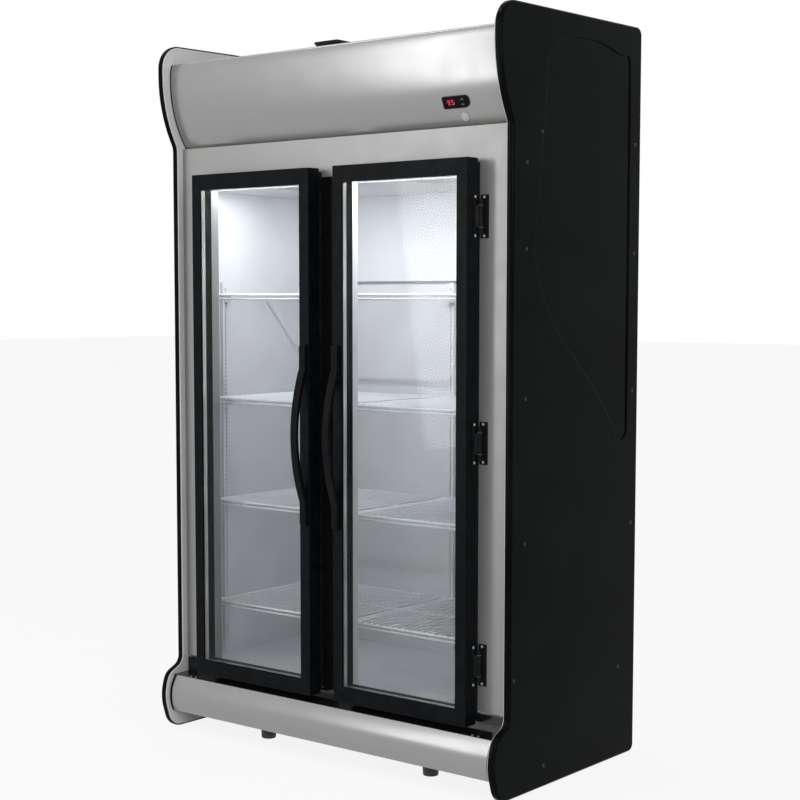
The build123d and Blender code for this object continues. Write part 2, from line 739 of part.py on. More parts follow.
def header_foot():
    """Where the header's face meets its bottom flange, and the lean there, in radians."""
    tangent_y, lean = header_point(HEADER_FOOT_Z + HEADER_STRAIGHT)
    slope = math.radians(lean)
    return tangent_y + HEADER_STRAIGHT * math.tan(slope), slope


def header_strip(x0, x1):
    """A length of the header's section: rolled top, convex face and bottom flange."""
    foot_y, slope = header_foot()
    apex_z = HEADER_BULGE_Z - HEADER_RADIUS * math.tan(slope / 2)
    shoulder_z = HEADER_BULGE_Z + HEADER_TOP_BEND
    top_z = HEIGHT - HEADER_TOP_DROP
    face = FilletPolyline(
        (foot_y + HEADER_FLANGE, HEADER_FOOT_Z),
        (foot_y, HEADER_FOOT_Z),
        (-HEADER_FRONT, apex_z),
        (-HEADER_FRONT, shoulder_z),
        (-HEADER_TOP_REACH, top_z),
        (HEADER_TOP_REACH, top_z),
        (HEADER_TOP_REACH, top_z - HEADER_TOP_REACH),
        radius=[HEADER_FOOT_BEND, HEADER_RADIUS, HEADER_SHOULDER_BEND, HEADER_TOP_ROUND, HEADER_LIP_BEND],
    )
    return folded(face, HEADER_SHEET, x0, x1, Side.RIGHT)


def header_panel():
    """Convex silver header with the cut-outs for the controls, on tabs that stand on the deck."""
    panel = header_strip(-HEADER_X, HEADER_X)
    foot_y, _ = header_foot()
    for x in HEADER_TAB_X:
        panel = panel + block(
            x - HEADER_TAB_WIDTH / 2,
            x + HEADER_TAB_WIDTH / 2,
            foot_y + HEADER_TAB_INSET,
            foot_y + HEADER_FLANGE,
            DECK_Z,
            HEADER_FOOT_Z + HEADER_SHEET / 2,
        )
    control_plane = header_plane(CONTROL_X, CONTROL_Z)
    body_width = CONTROL_WIDTH - 2 * CONTROL_BODY_MARGIN
    body_height = CONTROL_HEIGHT - 2 * CONTROL_BODY_MARGIN
    window = Box(body_width + 2 * SCREW_CLEARANCE, body_height + 2 * SCREW_CLEARANCE, CUT_OUT_DEPTH)
    panel = panel - control_plane * window
    switch_hole = Cylinder(SWITCH_BODY_RADIUS + SCREW_CLEARANCE, CUT_OUT_DEPTH)
    return panel - header_plane(SWITCH_X, SWITCH_Z) * switch_hole


def kick_strip(x0, x1):
    """A length of the kick panel's section: convex face and bottom flange."""
    path = Line((-SILL_REACH, SILL_FRONT_Z), (-SILL_REACH, SILL_FRONT_Z - 1))
    path += ThreePointArc(
        (-SILL_REACH, SILL_FRONT_Z - 1),
        (-KICK_FULLEST, KICK_FULLEST_Z),
        (-KICK_FOOT_REACH, KICK_BOTTOM_Z),
    )
    path += Line(
        (-KICK_FOOT_REACH, KICK_BOTTOM_Z),
        (-KICK_FOOT_REACH + KICK_FLANGE, KICK_BOTTOM_Z),
    )
    return folded(path, HEADER_SHEET, x0, x1, Side.LEFT)


def kick_panel():
    """Convex silver kick panel and the brackets that hold it to the base frame."""
    skin = kick_strip(-KICK_X, KICK_X)
    brackets = []
    for x in (-FOOT_X, FOOT_X):
        x0 = x - BASE_BEAM / 2
        x1 = x + BASE_BEAM / 2
        beam_y = FRONT_FOOT_Y - BASE_BEAM / 2
        front_y = -KICK_FOOT_REACH + KICK_FLANGE / 2
        shelf_z = BASE_Z + KICK_BRACKET_RISE
        brackets.append(block(x0, x1, front_y, beam_y, shelf_z, shelf_z + SHEET))
        brackets.append(block(x0, x1, front_y, front_y + SHEET, KICK_BOTTOM_Z + HEADER_SHEET / 2, shelf_z))
        brackets.append(block(x0, x1, beam_y - SHEET, beam_y, shelf_z, shelf_z + BASE_HEIGHT / 2))
    return skin + brackets


def edge_trims():
    """Black edging on both ends of the header and of the kick panel."""
    header_trim = header_strip(HEADER_X, HEADER_X + HEADER_TRIM_WIDTH)
    kick_trim = kick_strip(KICK_X, KICK_X + KICK_TRIM_WIDTH)
    return on_both_sides(header_trim, kick_trim)


# Insulated body
def lining():
    """Inner walls and floor of the cold space."""
    side = block(LINER_X, LINER_OUT_X, THROAT_Y, LINER_BACK_OUT_Y, FLOOR_Z - SHEET, LINER_TOP_Z + SHEET)
    back = block(-LINER_X, LINER_X, LINER_BACK_Y, LINER_BACK_OUT_Y, FLOOR_Z - SHEET, LINER_TOP_Z)
    drain_z = drain_entry_z()
    drain_bore = DRAIN_RADIUS + SCREW_CLEARANCE
    drain = rod((DRAIN_X, LINER_BACK_Y - 1, drain_z), (DRAIN_X, REAR_Y, drain_z), drain_bore)
    floor = block(-LINER_X, LINER_X, THROAT_Y, LINER_BACK_Y, FLOOR_Z - SHEET, FLOOR_Z)
    return [side, flipped(side), back - drain, floor]


def pipe_holes(z0, z1):
    """Holes for the two refrigerant pipes that go down to the cooler."""
    radius = PIPE_RADIUS + HOLE_CLEARANCE
    suction = rod((SUCTION_X, SUCTION_Y, z0), (SUCTION_X, SUCTION_Y, z1), radius)
    liquid = rod((LIQUID_X, LIQUID_Y, z0), (LIQUID_X, LIQUID_Y, z1), radius)
    return [suction, liquid]


def liner_ceiling():
    """Inner ceiling that carries the cooler and its fans."""
    sheet = block(-LINER_X, LINER_X, THROAT_Y, LINER_BACK_OUT_Y, LINER_TOP_Z, LINER_TOP_Z + SHEET)
    return sheet - pipe_holes(LINER_TOP_Z - 1, LINER_TOP_Z + 2 * SHEET)


def insulation():
    """Foam slabs between the lining and the outer sheets."""
    top = DECK_Z - SHEET
    side = block(LINER_OUT_X, BODY_X, THROAT_Y, BACK_SHEET_Y, BASE_TOP_Z, top)
    stile_low = OPENING_BOTTOM_Z + FRAME_SKIRT_RISE
    stile = block(OPENING_X + SHEET, BODY_X, FACE_Y + SHEET, THROAT_Y - SHEET, stile_low, DECK_Z)
    back = block(-LINER_OUT_X, LINER_OUT_X, LINER_BACK_OUT_Y, BACK_SHEET_Y, BASE_TOP_Z, top)
    drain_y = (LINER_BACK_OUT_Y + BACK_SHEET_Y) / 2
    drain_z = drain_entry_z()
    drain_bore = DRAIN_RADIUS + SCREW_CLEARANCE
    channel = rod((DRAIN_X, drain_y, BASE_TOP_Z - 1), (DRAIN_X, drain_y, drain_z), drain_bore)
    elbow = block(
        DRAIN_X - drain_bore,
        DRAIN_X + drain_bore,
        LINER_BACK_OUT_Y,
        drain_y + drain_bore,
        drain_z - 3 * DRAIN_RADIUS,
        drain_z + drain_bore,
    )
    back = back - channel - elbow
    floor = block(-LINER_OUT_X, LINER_OUT_X, THROAT_Y, LINER_BACK_OUT_Y, BASE_TOP_Z, FLOOR_Z - SHEET)
    riser_back = FACE_Y + SHEET + SEAT_GAP + SHEET + SEAT_GAP
    front = block(-BODY_X, BODY_X, riser_back, THROAT_Y, BASE_TOP_Z, FLOOR_Z - SHEET)
    roof = block(-LINER_OUT_X, LINER_OUT_X, THROAT_Y, LINER_BACK_OUT_Y, LINER_TOP_Z + SHEET, top)
    roof = roof - pipe_holes(LINER_TOP_Z, DECK_Z)
    lintel = block(
        -OPENING_X,
        OPENING_X,
        FACE_Y + SHEET,
        THROAT_Y - SHEET,
        OPENING_TOP_Z + SHEET,
        top,
    )
    return [*on_both_sides(side, stile), back, floor, front, roof, lintel]


def machine_deck():
    """Steel deck over the insulation, which carries the condensing unit."""
    sheet = block(-BODY_X, BODY_X, THROAT_Y, BACK_SHEET_Y, DECK_Z - SHEET, DECK_Z)
    return sheet - pipe_holes(DECK_Z - 2 * SHEET, DECK_Z + 1)


def back_panel():
    """Painted back sheet of the insulated body."""
    return block(-BODY_X, BODY_X, BACK_SHEET_Y, REAR_Y, BASE_Z, DECK_Z)


def rear_grille():
    """Louvred sheet behind the machine compartment, with the gland for the mains lead."""
    low = DECK_Z + SEAT_GAP
    high = HEIGHT - GRILLE_TOP_DROP
    sheet = block(-BODY_X, BODY_X, BACK_SHEET_Y, REAR_Y, low, high)
    middle_z = (low + high) / 2
    louvre = SlotOverall(LOUVRE_LENGTH, LOUVRE_HEIGHT)
    slots = Sketch() + GridLocations(0, LOUVRE_PITCH, 1, LOUVRE_COUNT) * louvre
    plane = Plane(origin=(0, REAR_Y + 1, middle_z), x_dir=(1, 0, 0), z_dir=(0, -1, 0))
    bank = extrude(plane * slots, SHEET + 2)
    bank_x = (LOUVRE_LENGTH + LOUVRE_BANK_GAP) / 2
    sheet = sheet - Pos(-bank_x, 0, 0) * bank - Pos(bank_x, 0, 0) * bank
    gland_z = low + 2 * GLAND_RADIUS
    gland_front = (GLAND_X, BACK_SHEET_Y - GLAND_LENGTH, gland_z)
    gland_seat = (GLAND_X, BACK_SHEET_Y, gland_z)
    outside = (GLAND_X, REAR_Y + 1, gland_z)
    hole = rod(gland_seat, outside, GLAND_RADIUS - GLAND_LEDGE)
    gland = rod(gland_front, gland_seat, GLAND_RADIUS)
    gland = gland - rod(gland_front, outside, GLAND_RADIUS - GLAND_WALL)
    return [sheet - hole, gland]


# Base, feet and drain
def box_beam(x0, x1, y0, y1, runs_along_x):
    """A square-section tube of the base frame, open at its ends."""
    outer = block(x0, x1, y0, y1, BASE_Z, BASE_TOP_Z)
    low = BASE_Z + BEAM_WALL
    high = BASE_TOP_Z - BEAM_WALL
    if runs_along_x:
        return outer - block(x0, x1, y0 + BEAM_WALL, y1 - BEAM_WALL, low, high)
    return outer - block(x0 + BEAM_WALL, x1 - BEAM_WALL, y0, y1, low, high)


def base_frame():
    """Welded ladder frame of box beams under the body, with bosses for the feet."""
    front_y = FRONT_FOOT_Y - BASE_BEAM / 2
    rear_y = REAR_FOOT_Y + BASE_BEAM / 2
    inner_front = front_y + BASE_BEAM
    inner_rear = rear_y - BASE_BEAM
    cross_x = FOOT_X - BASE_BEAM / 2
    front = box_beam(-BODY_X, BODY_X, front_y, inner_front, True)
    rear = box_beam(-BODY_X, BODY_X, inner_rear, rear_y, True)
    for x, y in foot_places().values():
        boss = rod((x, y, BASE_Z), (x, y, BASE_TOP_Z), FOOT_BOSS_RADIUS)
        bore = foot_stem(x, y, STEM_RADIUS + SHAFT_CLEARANCE)
        if y == FRONT_FOOT_Y:
            front = front + boss - bore
        else:
            rear = rear + boss - bore
    end = box_beam(BODY_X - BASE_BEAM, BODY_X, inner_front, inner_rear, False)
    cross = box_beam(cross_x, cross_x + BASE_BEAM, inner_front, inner_rear, False)
    runner_x = TRAY_HALF_WIDTH - 2 * RUNNER
    runner = block(runner_x, cross_x, inner_front, inner_rear, BASE_Z, BASE_Z + RUNNER)
    return [front, rear, *on_both_sides(end, cross + runner)]


def foot_places():
    """The four levelling feet by name, as (x, y)."""
    return {
        "front_left": (-FOOT_X, FRONT_FOOT_Y),
        "front_right": (FOOT_X, FRONT_FOOT_Y),
        "rear_left": (-FOOT_X, REAR_FOOT_Y),
        "rear_right": (FOOT_X, REAR_FOOT_Y),
    }


def foot_stem(x, y, radius):
    """Threaded stem of a foot, or the hole it runs in."""
    return rod((x, y, BASE_Z - SEAT_GAP), (x, y, BASE_Z + STEM_LENGTH), radius)


def levelling_foot(x, y):
    """Tapered foot with its stem."""
    height = BASE_Z - SEAT_GAP
    cone = Pos(x, y, height / 2) * Cone(FOOT_BOTTOM_RADIUS, FOOT_TOP_RADIUS, height)
    sole = cone.edges().sort_by(Axis.Z)[0]
    cone = fillet([sole], FOOT_ROUND)
    return cone + foot_stem(x, y, STEM_RADIUS)


def drain_entry_z():
    """Height where the drain leaves the cold space, just under the cooler's cover."""
    return COVER_Z + SHEET + 3 * DRAIN_RADIUS


def drain_tray():
    """Evaporation tray on its runners, and the drain tube that feeds it."""
    rear = REAR_Y - TRAY_REAR_MARGIN
    front = rear - TRAY_DEPTH
    low = BASE_Z + RUNNER + SEAT_GAP
    tray = block(-TRAY_HALF_WIDTH, TRAY_HALF_WIDTH, front, rear, low, low + TRAY_HEIGHT)
    inner_x = TRAY_HALF_WIDTH - TRAY_WALL
    inner_front = front + TRAY_WALL
    inner_rear = rear - TRAY_WALL
    tray = tray - block(-inner_x, inner_x, inner_front, inner_rear, low + TRAY_WALL, low + TRAY_HEIGHT)
    tube_y = (LINER_BACK_OUT_Y + BACK_SHEET_Y) / 2
    top = drain_entry_z()
    path = FilletPolyline(
        (DRAIN_X, LINER_BACK_Y - 4, top),
        (DRAIN_X, tube_y, top),
        (DRAIN_X, tube_y, BASE_TOP_Z),
        radius=DRAIN_RADIUS * 1.3,
    )
    tube = sweep(Plane(origin=path @ 0, z_dir=path % 0) * Circle(DRAIN_RADIUS), path)
    bore = sweep(Plane(origin=path @ 0, z_dir=path % 0) * Circle(DRAIN_RADIUS - TRAY_WALL), path)
    return [tray, tube - bore]


# Shelves and their supports
def shelf_half():
    """Right-hand half of the top wire shelf: rim rods, cross rod, wires and a double front rail."""
    x0 = SHELF_CENTRE_GAP / 2 + SHELF_ROD_RADIUS + SHELF_ROD_OVERHANG
    x1 = LINER_X - SHELF_SIDE_GAP - SHELF_ROD_RADIUS - SHELF_ROD_OVERHANG
    y0 = SHELF_FRONT_Y + SHELF_ROD_RADIUS
    y1 = SHELF_REAR_Y - SHELF_ROD_RADIUS
    left = x0 - SHELF_ROD_RADIUS - SHELF_ROD_OVERHANG
    right = x1 + SHELF_ROD_RADIUS + SHELF_ROD_OVERHANG
    rod_z = TOP_SHELF_Z - 2 * SHELF_WIRE_RADIUS + SHELF_WIRE_BITE - SHELF_ROD_RADIUS
    wire_z = TOP_SHELF_Z - SHELF_WIRE_RADIUS
    lip_z = rod_z - SHELF_LIP_DROP
    bars = [rod((left, y, rod_z), (right, y, rod_z), SHELF_ROD_RADIUS) for y in (y0, (y0 + y1) / 2, y1)]
    bars += [rod((x, y0, rod_z), (x, y1, rod_z), SHELF_SIDE_ROD_RADIUS) for x in (x0, x1)]
    bars.append(rod((left, y0, lip_z), (right, y0, lip_z), SHELF_ROD_RADIUS))
    gaps = round((x1 - x0) / SHELF_WIRE_PITCH)
    step = (x1 - x0) / gaps
    for i in range(1, gaps):
        x = x0 + i * step
        bars.append(rod((x, y0 - 1, wire_z), (x, y1 + 1, wire_z), SHELF_WIRE_RADIUS))
    for i in range(0, gaps, SHELF_LIP_TIE_EVERY):
        x = x0 + (i + 0.5) * step
        bars.append(rod((x, y0, lip_z), (x, y0, rod_z), SHELF_WIRE_RADIUS))
    return bars[0].fuse(*bars[1:])


def slotted_rail():
    """Slotted channel that the shelf clips hook into, with its slots on the +Y side."""
    low = FLOOR_Z + RAIL_FLOOR_GAP
    high = DUCT_BOTTOM_Z - RAIL_TOP_GAP
    half = RAIL_WIDTH / 2
    section = Polyline(
        (-half, 0),
        (-half, RAIL_DEPTH),
        (half, RAIL_DEPTH),
        (half, 0),
        (half - RAIL_WALL, 0),
        (half - RAIL_WALL, RAIL_DEPTH - RAIL_WALL),
        (-half + RAIL_WALL, RAIL_DEPTH - RAIL_WALL),
        (-half + RAIL_WALL, 0),
        close=True,
    )
    channel = along_z(make_face(section), low, high)
    count = int((high - low - 2 * RAIL_SLOT_PITCH) / RAIL_SLOT_PITCH)
    slot = Rectangle(RAIL_SLOT_WIDTH, RAIL_SLOT_HEIGHT)
    slots = Sketch() + GridLocations(0, RAIL_SLOT_PITCH, 1, count) * slot
    middle = (0, RAIL_DEPTH - RAIL_WALL, (low + high) / 2)
    plane = Plane(origin=middle, x_dir=(-1, 0, 0), z_dir=(0, 1, 0))
    return channel - extrude(plane * slots, RAIL_WALL)


def shelf_supports():
    """Five slotted rails and the clips that carry the shelf halves."""
    rail = slotted_rail()
    parts = [Pos(0, LINER_BACK_Y, 0) * Rot(0, 0, 180) * rail]
    for y in (RAIL_FRONT_Y, RAIL_REAR_Y):
        parts.append(Pos(LINER_X, y, 0) * Rot(0, 0, 90) * rail)
        parts.append(Pos(-LINER_X, y, 0) * Rot(0, 0, -90) * rail)
    for level in range(SHELF_LEVELS):
        top = TOP_SHELF_Z - level * SHELF_PITCH - SHELF_DEPTH_BELOW - SEAT_GAP
        for y in (RAIL_FRONT_Y, RAIL_REAR_Y):
            clip = block(
                LINER_X - RAIL_DEPTH - CLIP_LENGTH,
                LINER_X - RAIL_DEPTH,
                y - CLIP_THICKNESS / 2,
                y + CLIP_THICKNESS / 2,
                top - CLIP_HEIGHT,
                top,
            )
            parts += on_both_sides(clip)
        half = CENTRE_CLIP_WIDTH / 2
        rear = LINER_BACK_Y - RAIL_DEPTH
        parts.append(block(-half, half, rear - CLIP_LENGTH, rear, top - CLIP_HEIGHT, top))
    return parts


# Cooler and duct
def guard_slots(x, y):
    """Finger guard: parallel slots cut inside the fan's circle."""
    cuts = []
    reach = int(COOLER_FAN_RADIUS / GUARD_PITCH)
    for i in range(-reach, reach + 1):
        offset_y = i * GUARD_PITCH
        half = math.sqrt(max(COOLER_FAN_RADIUS**2 - offset_y**2, 0))
        if half > GUARD_PITCH:
            cuts.append(
                block(
                    x - half,
                    x + half,
                    y + offset_y - GUARD_SLOT / 2,
                    y + offset_y + GUARD_SLOT / 2,
                    COVER_Z - 1,
                    COVER_Z + 2 * SHEET,
                )
            )
    return cuts


def evaporator_cover():
    """Ceiling cover with fan guards, and the air duct down the back wall."""
    front = THROAT_Y + SEAT_GAP
    section = Polyline(
        (front, LINER_TOP_Z - SEAT_GAP),
        (front, COVER_Z),
        (DUCT_Y - SEAT_GAP, COVER_Z),
        (DUCT_Y - SEAT_GAP, COVER_Z + SHEET),
        (front + SHEET, COVER_Z + SHEET),
        (front + SHEET, LINER_TOP_Z - SEAT_GAP),
        close=True,
    )
    half = LINER_X - SEAT_GAP
    ceiling = along_x(make_face(section), -half, half)
    for x in (-COOLER_FAN_X, COOLER_FAN_X):
        ceiling = ceiling - guard_slots(x, COOLER_FAN_CENTRE_Y)
    duct = block(-half, half, DUCT_Y, LINER_BACK_Y, DUCT_BOTTOM_Z, LINER_TOP_Z - SEAT_GAP)
    duct = duct - block(
        -half + SHEET,
        half - SHEET,
        DUCT_Y + SHEET,
        LINER_BACK_Y,
        DUCT_BOTTOM_Z + SHEET,
        LINER_TOP_Z - SEAT_GAP,
    )
    inlet = block(
        -COOLER_HALF_WIDTH,
        COOLER_HALF_WIDTH,
        DUCT_Y - 1,
        DUCT_Y + 2 * SHEET,
        COVER_Z + 2 * COOLER_RISE,
        COVER_Z + COOLER_HEIGHT,
    )
    outlet_y = (DUCT_Y + LINER_BACK_Y) / 2
    outlet = block(
        -COOLER_HALF_WIDTH,
        COOLER_HALF_WIDTH,
        outlet_y - GUARD_SLOT / 2,
        outlet_y + GUARD_SLOT / 2,
        DUCT_BOTTOM_Z - 1,
        DUCT_BOTTOM_Z + 2 * SHEET,
    )
    return [ceiling, duct - inlet - outlet]


def fin_comb(width, depth):
    """Section of a fin pack: fins on a spine, drawn in (across, through)."""
    count = int(width / FIN_PITCH)
    pitch = width / count
    points = [(-width / 2, 0)]
    for i in range(count):
        left = -width / 2 + i * pitch
        points.append((left, depth))
        points.append((left + FIN_THICKNESS, depth))
        points.append((left + FIN_THICKNESS, FIN_SPINE))
        points.append((left + pitch, FIN_SPINE))
    points.append((width / 2, 0))
    return make_face(Polyline(*points, close=True))


def return_bend(centre, across, out):
    """A half-round tube bend that stands out of an end plate."""
    start = centre + across * BEND_RADIUS
    middle = centre + out * BEND_RADIUS
    end = centre - across * BEND_RADIUS
    path = ThreePointArc(start, middle, end)
    return sweep(Plane(origin=start, z_dir=out) * Circle(TUBE_RADIUS), path)


def evaporator_coil():
    """Finned cooling coil with its end plates, return bends and hangers."""
    depth = COOLER_REAR_Y - COOLER_FRONT_Y
    plane = Plane(origin=(0, COOLER_FRONT_Y, COOLER_Z + COOLER_HEIGHT), x_dir=(1, 0, 0), z_dir=(0, 1, 0))
    pack = extrude(plane * fin_comb(2 * COOLER_HALF_WIDTH, COOLER_HEIGHT), depth)
    plate = block(
        COOLER_HALF_WIDTH,
        COOLER_END_X,
        COOLER_FRONT_Y,
        COOLER_REAR_Y,
        COOLER_Z,
        LINER_TOP_Z - SEAT_GAP,
    )
    body = pack + plate + flipped(plate)
    out = Vector(-1, 0, 0)
    for i in range(3):
        y = COOLER_FRONT_Y + depth * (i + 0.5) / 3
        centre = Vector(-COOLER_END_X + TUBE_RADIUS / 3, y, COOLER_Z + COOLER_HEIGHT / 2)
        body = body + return_bend(centre, Vector(0, 1, 0), out)
    return body


def fan_wheel(radius, thickness, hub_radius):
    """Axial fan about its own Z: a bored hub with pitched blades."""
    blade_length = radius - hub_radius + BLADE_ROOT
    blade_width = BLADE_WIDTH_OF_HUB * hub_radius
    blade = Rot(BLADE_PITCH_ANGLE, 0, 0) * Box(blade_length, blade_width, BLADE_THICKNESS)
    blade = Pos(hub_radius - BLADE_ROOT + blade_length / 2, 0, 0) * blade
    ring = Cylinder(radius, 2 * thickness) - Cylinder(hub_radius - BLADE_ROOT, 2 * thickness)
    wheel = Cylinder(hub_radius, thickness)
    for i in range(FAN_BLADES):
        wheel = wheel + (Rot(0, 0, i * 360 / FAN_BLADES) * blade & ring)
    height = Cylinder(2 * radius, thickness)
    return (wheel & height) - Cylinder(SHAFT_RADIUS + SHAFT_CLEARANCE, thickness)


def cooler_fan(x):
    """Fan that draws the cold air up through the ceiling cover."""
    z = COOLER_FAN_Z + COOLER_FAN_THICKNESS / 2
    wheel = fan_wheel(COOLER_FAN_RADIUS, COOLER_FAN_THICKNESS, COOLER_HUB_SHARE * COOLER_FAN_RADIUS)
    return Pos(x, COOLER_FAN_CENTRE_Y, z) * wheel


def cooler_fan_motor(x):
    """Motor over a cooler fan, hung from the inner ceiling."""
    y = COOLER_FAN_CENTRE_Y
    low = COOLER_FAN_Z + COOLER_FAN_THICKNESS + FAN_MOTOR_GAP / 2
    motor = rod((x, y, low), (x, y, LINER_TOP_Z), COOLER_MOTOR_RADIUS)
    return motor + rod((x, y, COOLER_FAN_Z + 2), (x, y, low), SHAFT_RADIUS)


def lamp_batten():
    """Right-hand lamp batten under the lintel, hidden behind the door's top rail."""
    x0 = MULLION_X + LAMP_MARGIN
    x1 = OPENING_X - LAMP_MARGIN
    y0 = FACE_Y + LAMP_MARGIN / 2
    top = OPENING_TOP_Z
    lamp = block(x0, x1, y0, y0 + LAMP_DEPTH, top - LAMP_HEIGHT, top)
    lower = lamp.edges().filter_by(Axis.X).sort_by(Axis.Z)[:2]
    return fillet(lower, LAMP_HEIGHT / 3)


# Condensing unit
def condenser():
    """Finned condenser with end plates and return bends."""
    x0 = CONDENSER_X - CONDENSER_WIDTH / 2
    x1 = CONDENSER_X + CONDENSER_WIDTH / 2
    low = CONDENSER_Z
    high = CONDENSER_Z + CONDENSER_HEIGHT
    plane = Plane(origin=(CONDENSER_X, CONDENSER_BACK_Y, low), x_dir=(-1, 0, 0), z_dir=(0, 0, 1))
    fins = fin_comb(CONDENSER_WIDTH - 2 * COOLER_END_PLATE, CONDENSER_DEPTH)
    pack = extrude(plane * fins, CONDENSER_HEIGHT)
    left = block(x0, x0 + COOLER_END_PLATE, CONDENSER_Y, CONDENSER_BACK_Y, low, high)
    right = block(x1 - COOLER_END_PLATE, x1, CONDENSER_Y, CONDENSER_BACK_Y, low, high)
    body = pack + left + right
    middle_y = (CONDENSER_Y + CONDENSER_BACK_Y) / 2
    for i in range(3):
        z = low + CONDENSER_HEIGHT * (i + 1) / 4
        centre = Vector(x1 - TUBE_RADIUS / 3, middle_y + BEND_RADIUS / 2, z)
        body = body + return_bend(centre, Vector(0, 0, 1), Vector(1, 0, 0))
    return body


def condenser_shroud():
    """Sheet shroud between the condenser and its fan, with a rolled mouth."""
    x0 = CONDENSER_X - CONDENSER_WIDTH / 2
    x1 = CONDENSER_X + CONDENSER_WIDTH / 2
    low = CONDENSER_Z
    high = CONDENSER_Z + CONDENSER_HEIGHT
    wall = SHROUD_WALL
    shell = block(x0, x1, CONDENSER_BACK_Y, SHROUD_BACK_Y, low, high)
    inner_y = SHROUD_BACK_Y - wall
    shell = shell - block(x0 + wall, x1 - wall, CONDENSER_BACK_Y, inner_y, low + wall, high - wall)
    mouth_radius = FAN_RADIUS + FAN_TIP_CLEARANCE
    centre = (CONDENSER_X, SHROUD_BACK_Y, FAN_Z)
    collar_end = (CONDENSER_X, SHROUD_BACK_Y + 3 * wall, FAN_Z)
    collar = rod(centre, collar_end, mouth_radius + wall)
    mouth = rod((CONDENSER_X, CONDENSER_BACK_Y + wall, FAN_Z), collar_end, mouth_radius)
    return shell + collar - mouth


def condenser_fan():
    """Fan that draws air through the condenser."""
    wheel = fan_wheel(FAN_RADIUS, FAN_THICKNESS, HUB_RADIUS)
    return Pos(CONDENSER_X, FAN_MIDDLE_Y, FAN_Z) * Rot(90, 0, 0) * wheel


def condenser_fan_motor():
    """Fan motor with its shaft and the bracket that holds it to the shroud."""
    front = FAN_MIDDLE_Y + FAN_THICKNESS / 2 + FAN_MOTOR_GAP
    back = front + FAN_MOTOR_LENGTH
    shaft_tip = FAN_MIDDLE_Y - FAN_THICKNESS / 4
    motor = rod((CONDENSER_X, front, FAN_Z), (CONDENSER_X, back, FAN_Z), FAN_MOTOR_RADIUS)
    shaft = rod((CONDENSER_X, shaft_tip, FAN_Z), (CONDENSER_X, front, FAN_Z), SHAFT_RADIUS)
    reach = FAN_RADIUS + FAN_TIP_CLEARANCE + 2 * SHROUD_WALL
    tip = reach + MOTOR_ARM
    low = FAN_Z - MOTOR_ARM / 2
    high = FAN_Z + MOTOR_ARM / 2
    arm_y = front + MOTOR_ARM
    bracket = block(CONDENSER_X - tip, CONDENSER_X + tip, arm_y, arm_y + SHROUD_WALL, low, high)
    for side in (-1, 1):
        inner = CONDENSER_X + side * reach
        outer = CONDENSER_X + side * (reach + MOTOR_ARM / 2)
        leg = block(min(inner, outer), max(inner, outer), SHROUD_BACK_Y, arm_y, low, high)
        bracket = bracket + leg
    return motor + shaft + bracket


def compressor():
    """Hermetic compressor: domed can, base plate, rubber grommets and terminal cover."""
    z0 = DECK_Z + GROMMET_HEIGHT
    axis_low = (COMPRESSOR_X, COMPRESSOR_Y, z0)
    can = rod(axis_low, (COMPRESSOR_X, COMPRESSOR_Y, z0 + COMPRESSOR_HEIGHT), COMPRESSOR_RADIUS)
    rims = can.edges().filter_by(GeomType.CIRCLE).sort_by(Axis.Z)
    can = fillet([rims[-1]], COMPRESSOR_DOME)
    span = COMPRESSOR_FOOT_SPAN
    plate = block(
        COMPRESSOR_X - span - GROMMET_RADIUS,
        COMPRESSOR_X + span + GROMMET_RADIUS,
        COMPRESSOR_Y - span - GROMMET_RADIUS,
        COMPRESSOR_Y + span + GROMMET_RADIUS,
        z0,
        z0 + COMPRESSOR_PLATE,
    )
    cover = block(
        COMPRESSOR_X - COMPRESSOR_RADIUS / 2,
        COMPRESSOR_X + COMPRESSOR_RADIUS / 2,
        COMPRESSOR_Y - COMPRESSOR_RADIUS - TERMINAL_COVER,
        COMPRESSOR_Y,
        z0 + COMPRESSOR_HEIGHT / 3,
        z0 + COMPRESSOR_HEIGHT * 2 / 3,
    )
    parts = [can + plate + cover]
    for dx in (-span, span):
        for dy in (-span, span):
            x = COMPRESSOR_X + dx
            y = COMPRESSOR_Y + dy
            parts.append(rod((x, y, DECK_Z), (x, y, z0), GROMMET_RADIUS))
    return parts


def electrical_box():
    """Black junction box on a stand, whose lid is the highest thing behind the header."""
    top = HEIGHT - BOX_TOP_DROP
    low = top - BOX_HEIGHT
    x0 = BOX_LEFT_X + BOX_LID_OVERHANG
    x1 = BOX_RIGHT_X - BOX_LID_OVERHANG
    front = BOX_Y + BOX_LID_OVERHANG
    back = BOX_Y + BOX_DEPTH - BOX_LID_OVERHANG
    box = block(x0, x1, front, back, low, top - BOX_LID)
    lid = block(BOX_LEFT_X, BOX_RIGHT_X, BOX_Y, BOX_Y + BOX_DEPTH, top - BOX_LID, top)
    stand = block(x0 + BOX_LID, x1 - BOX_LID, back - BOX_STAND, back, DECK_Z, low)
    foot = block(x0 + BOX_LID, x1 - BOX_LID, front + BOX_LID, back, DECK_Z, DECK_Z + BOX_STAND)
    return box + lid + stand + foot


def tube_run(points, radius, bend):
    """A pipe along straight runs with round bends."""
    path = FilletPolyline(*points, radius=bend)
    return sweep(Plane(origin=path @ 0, z_dir=path % 0) * Circle(radius), path)


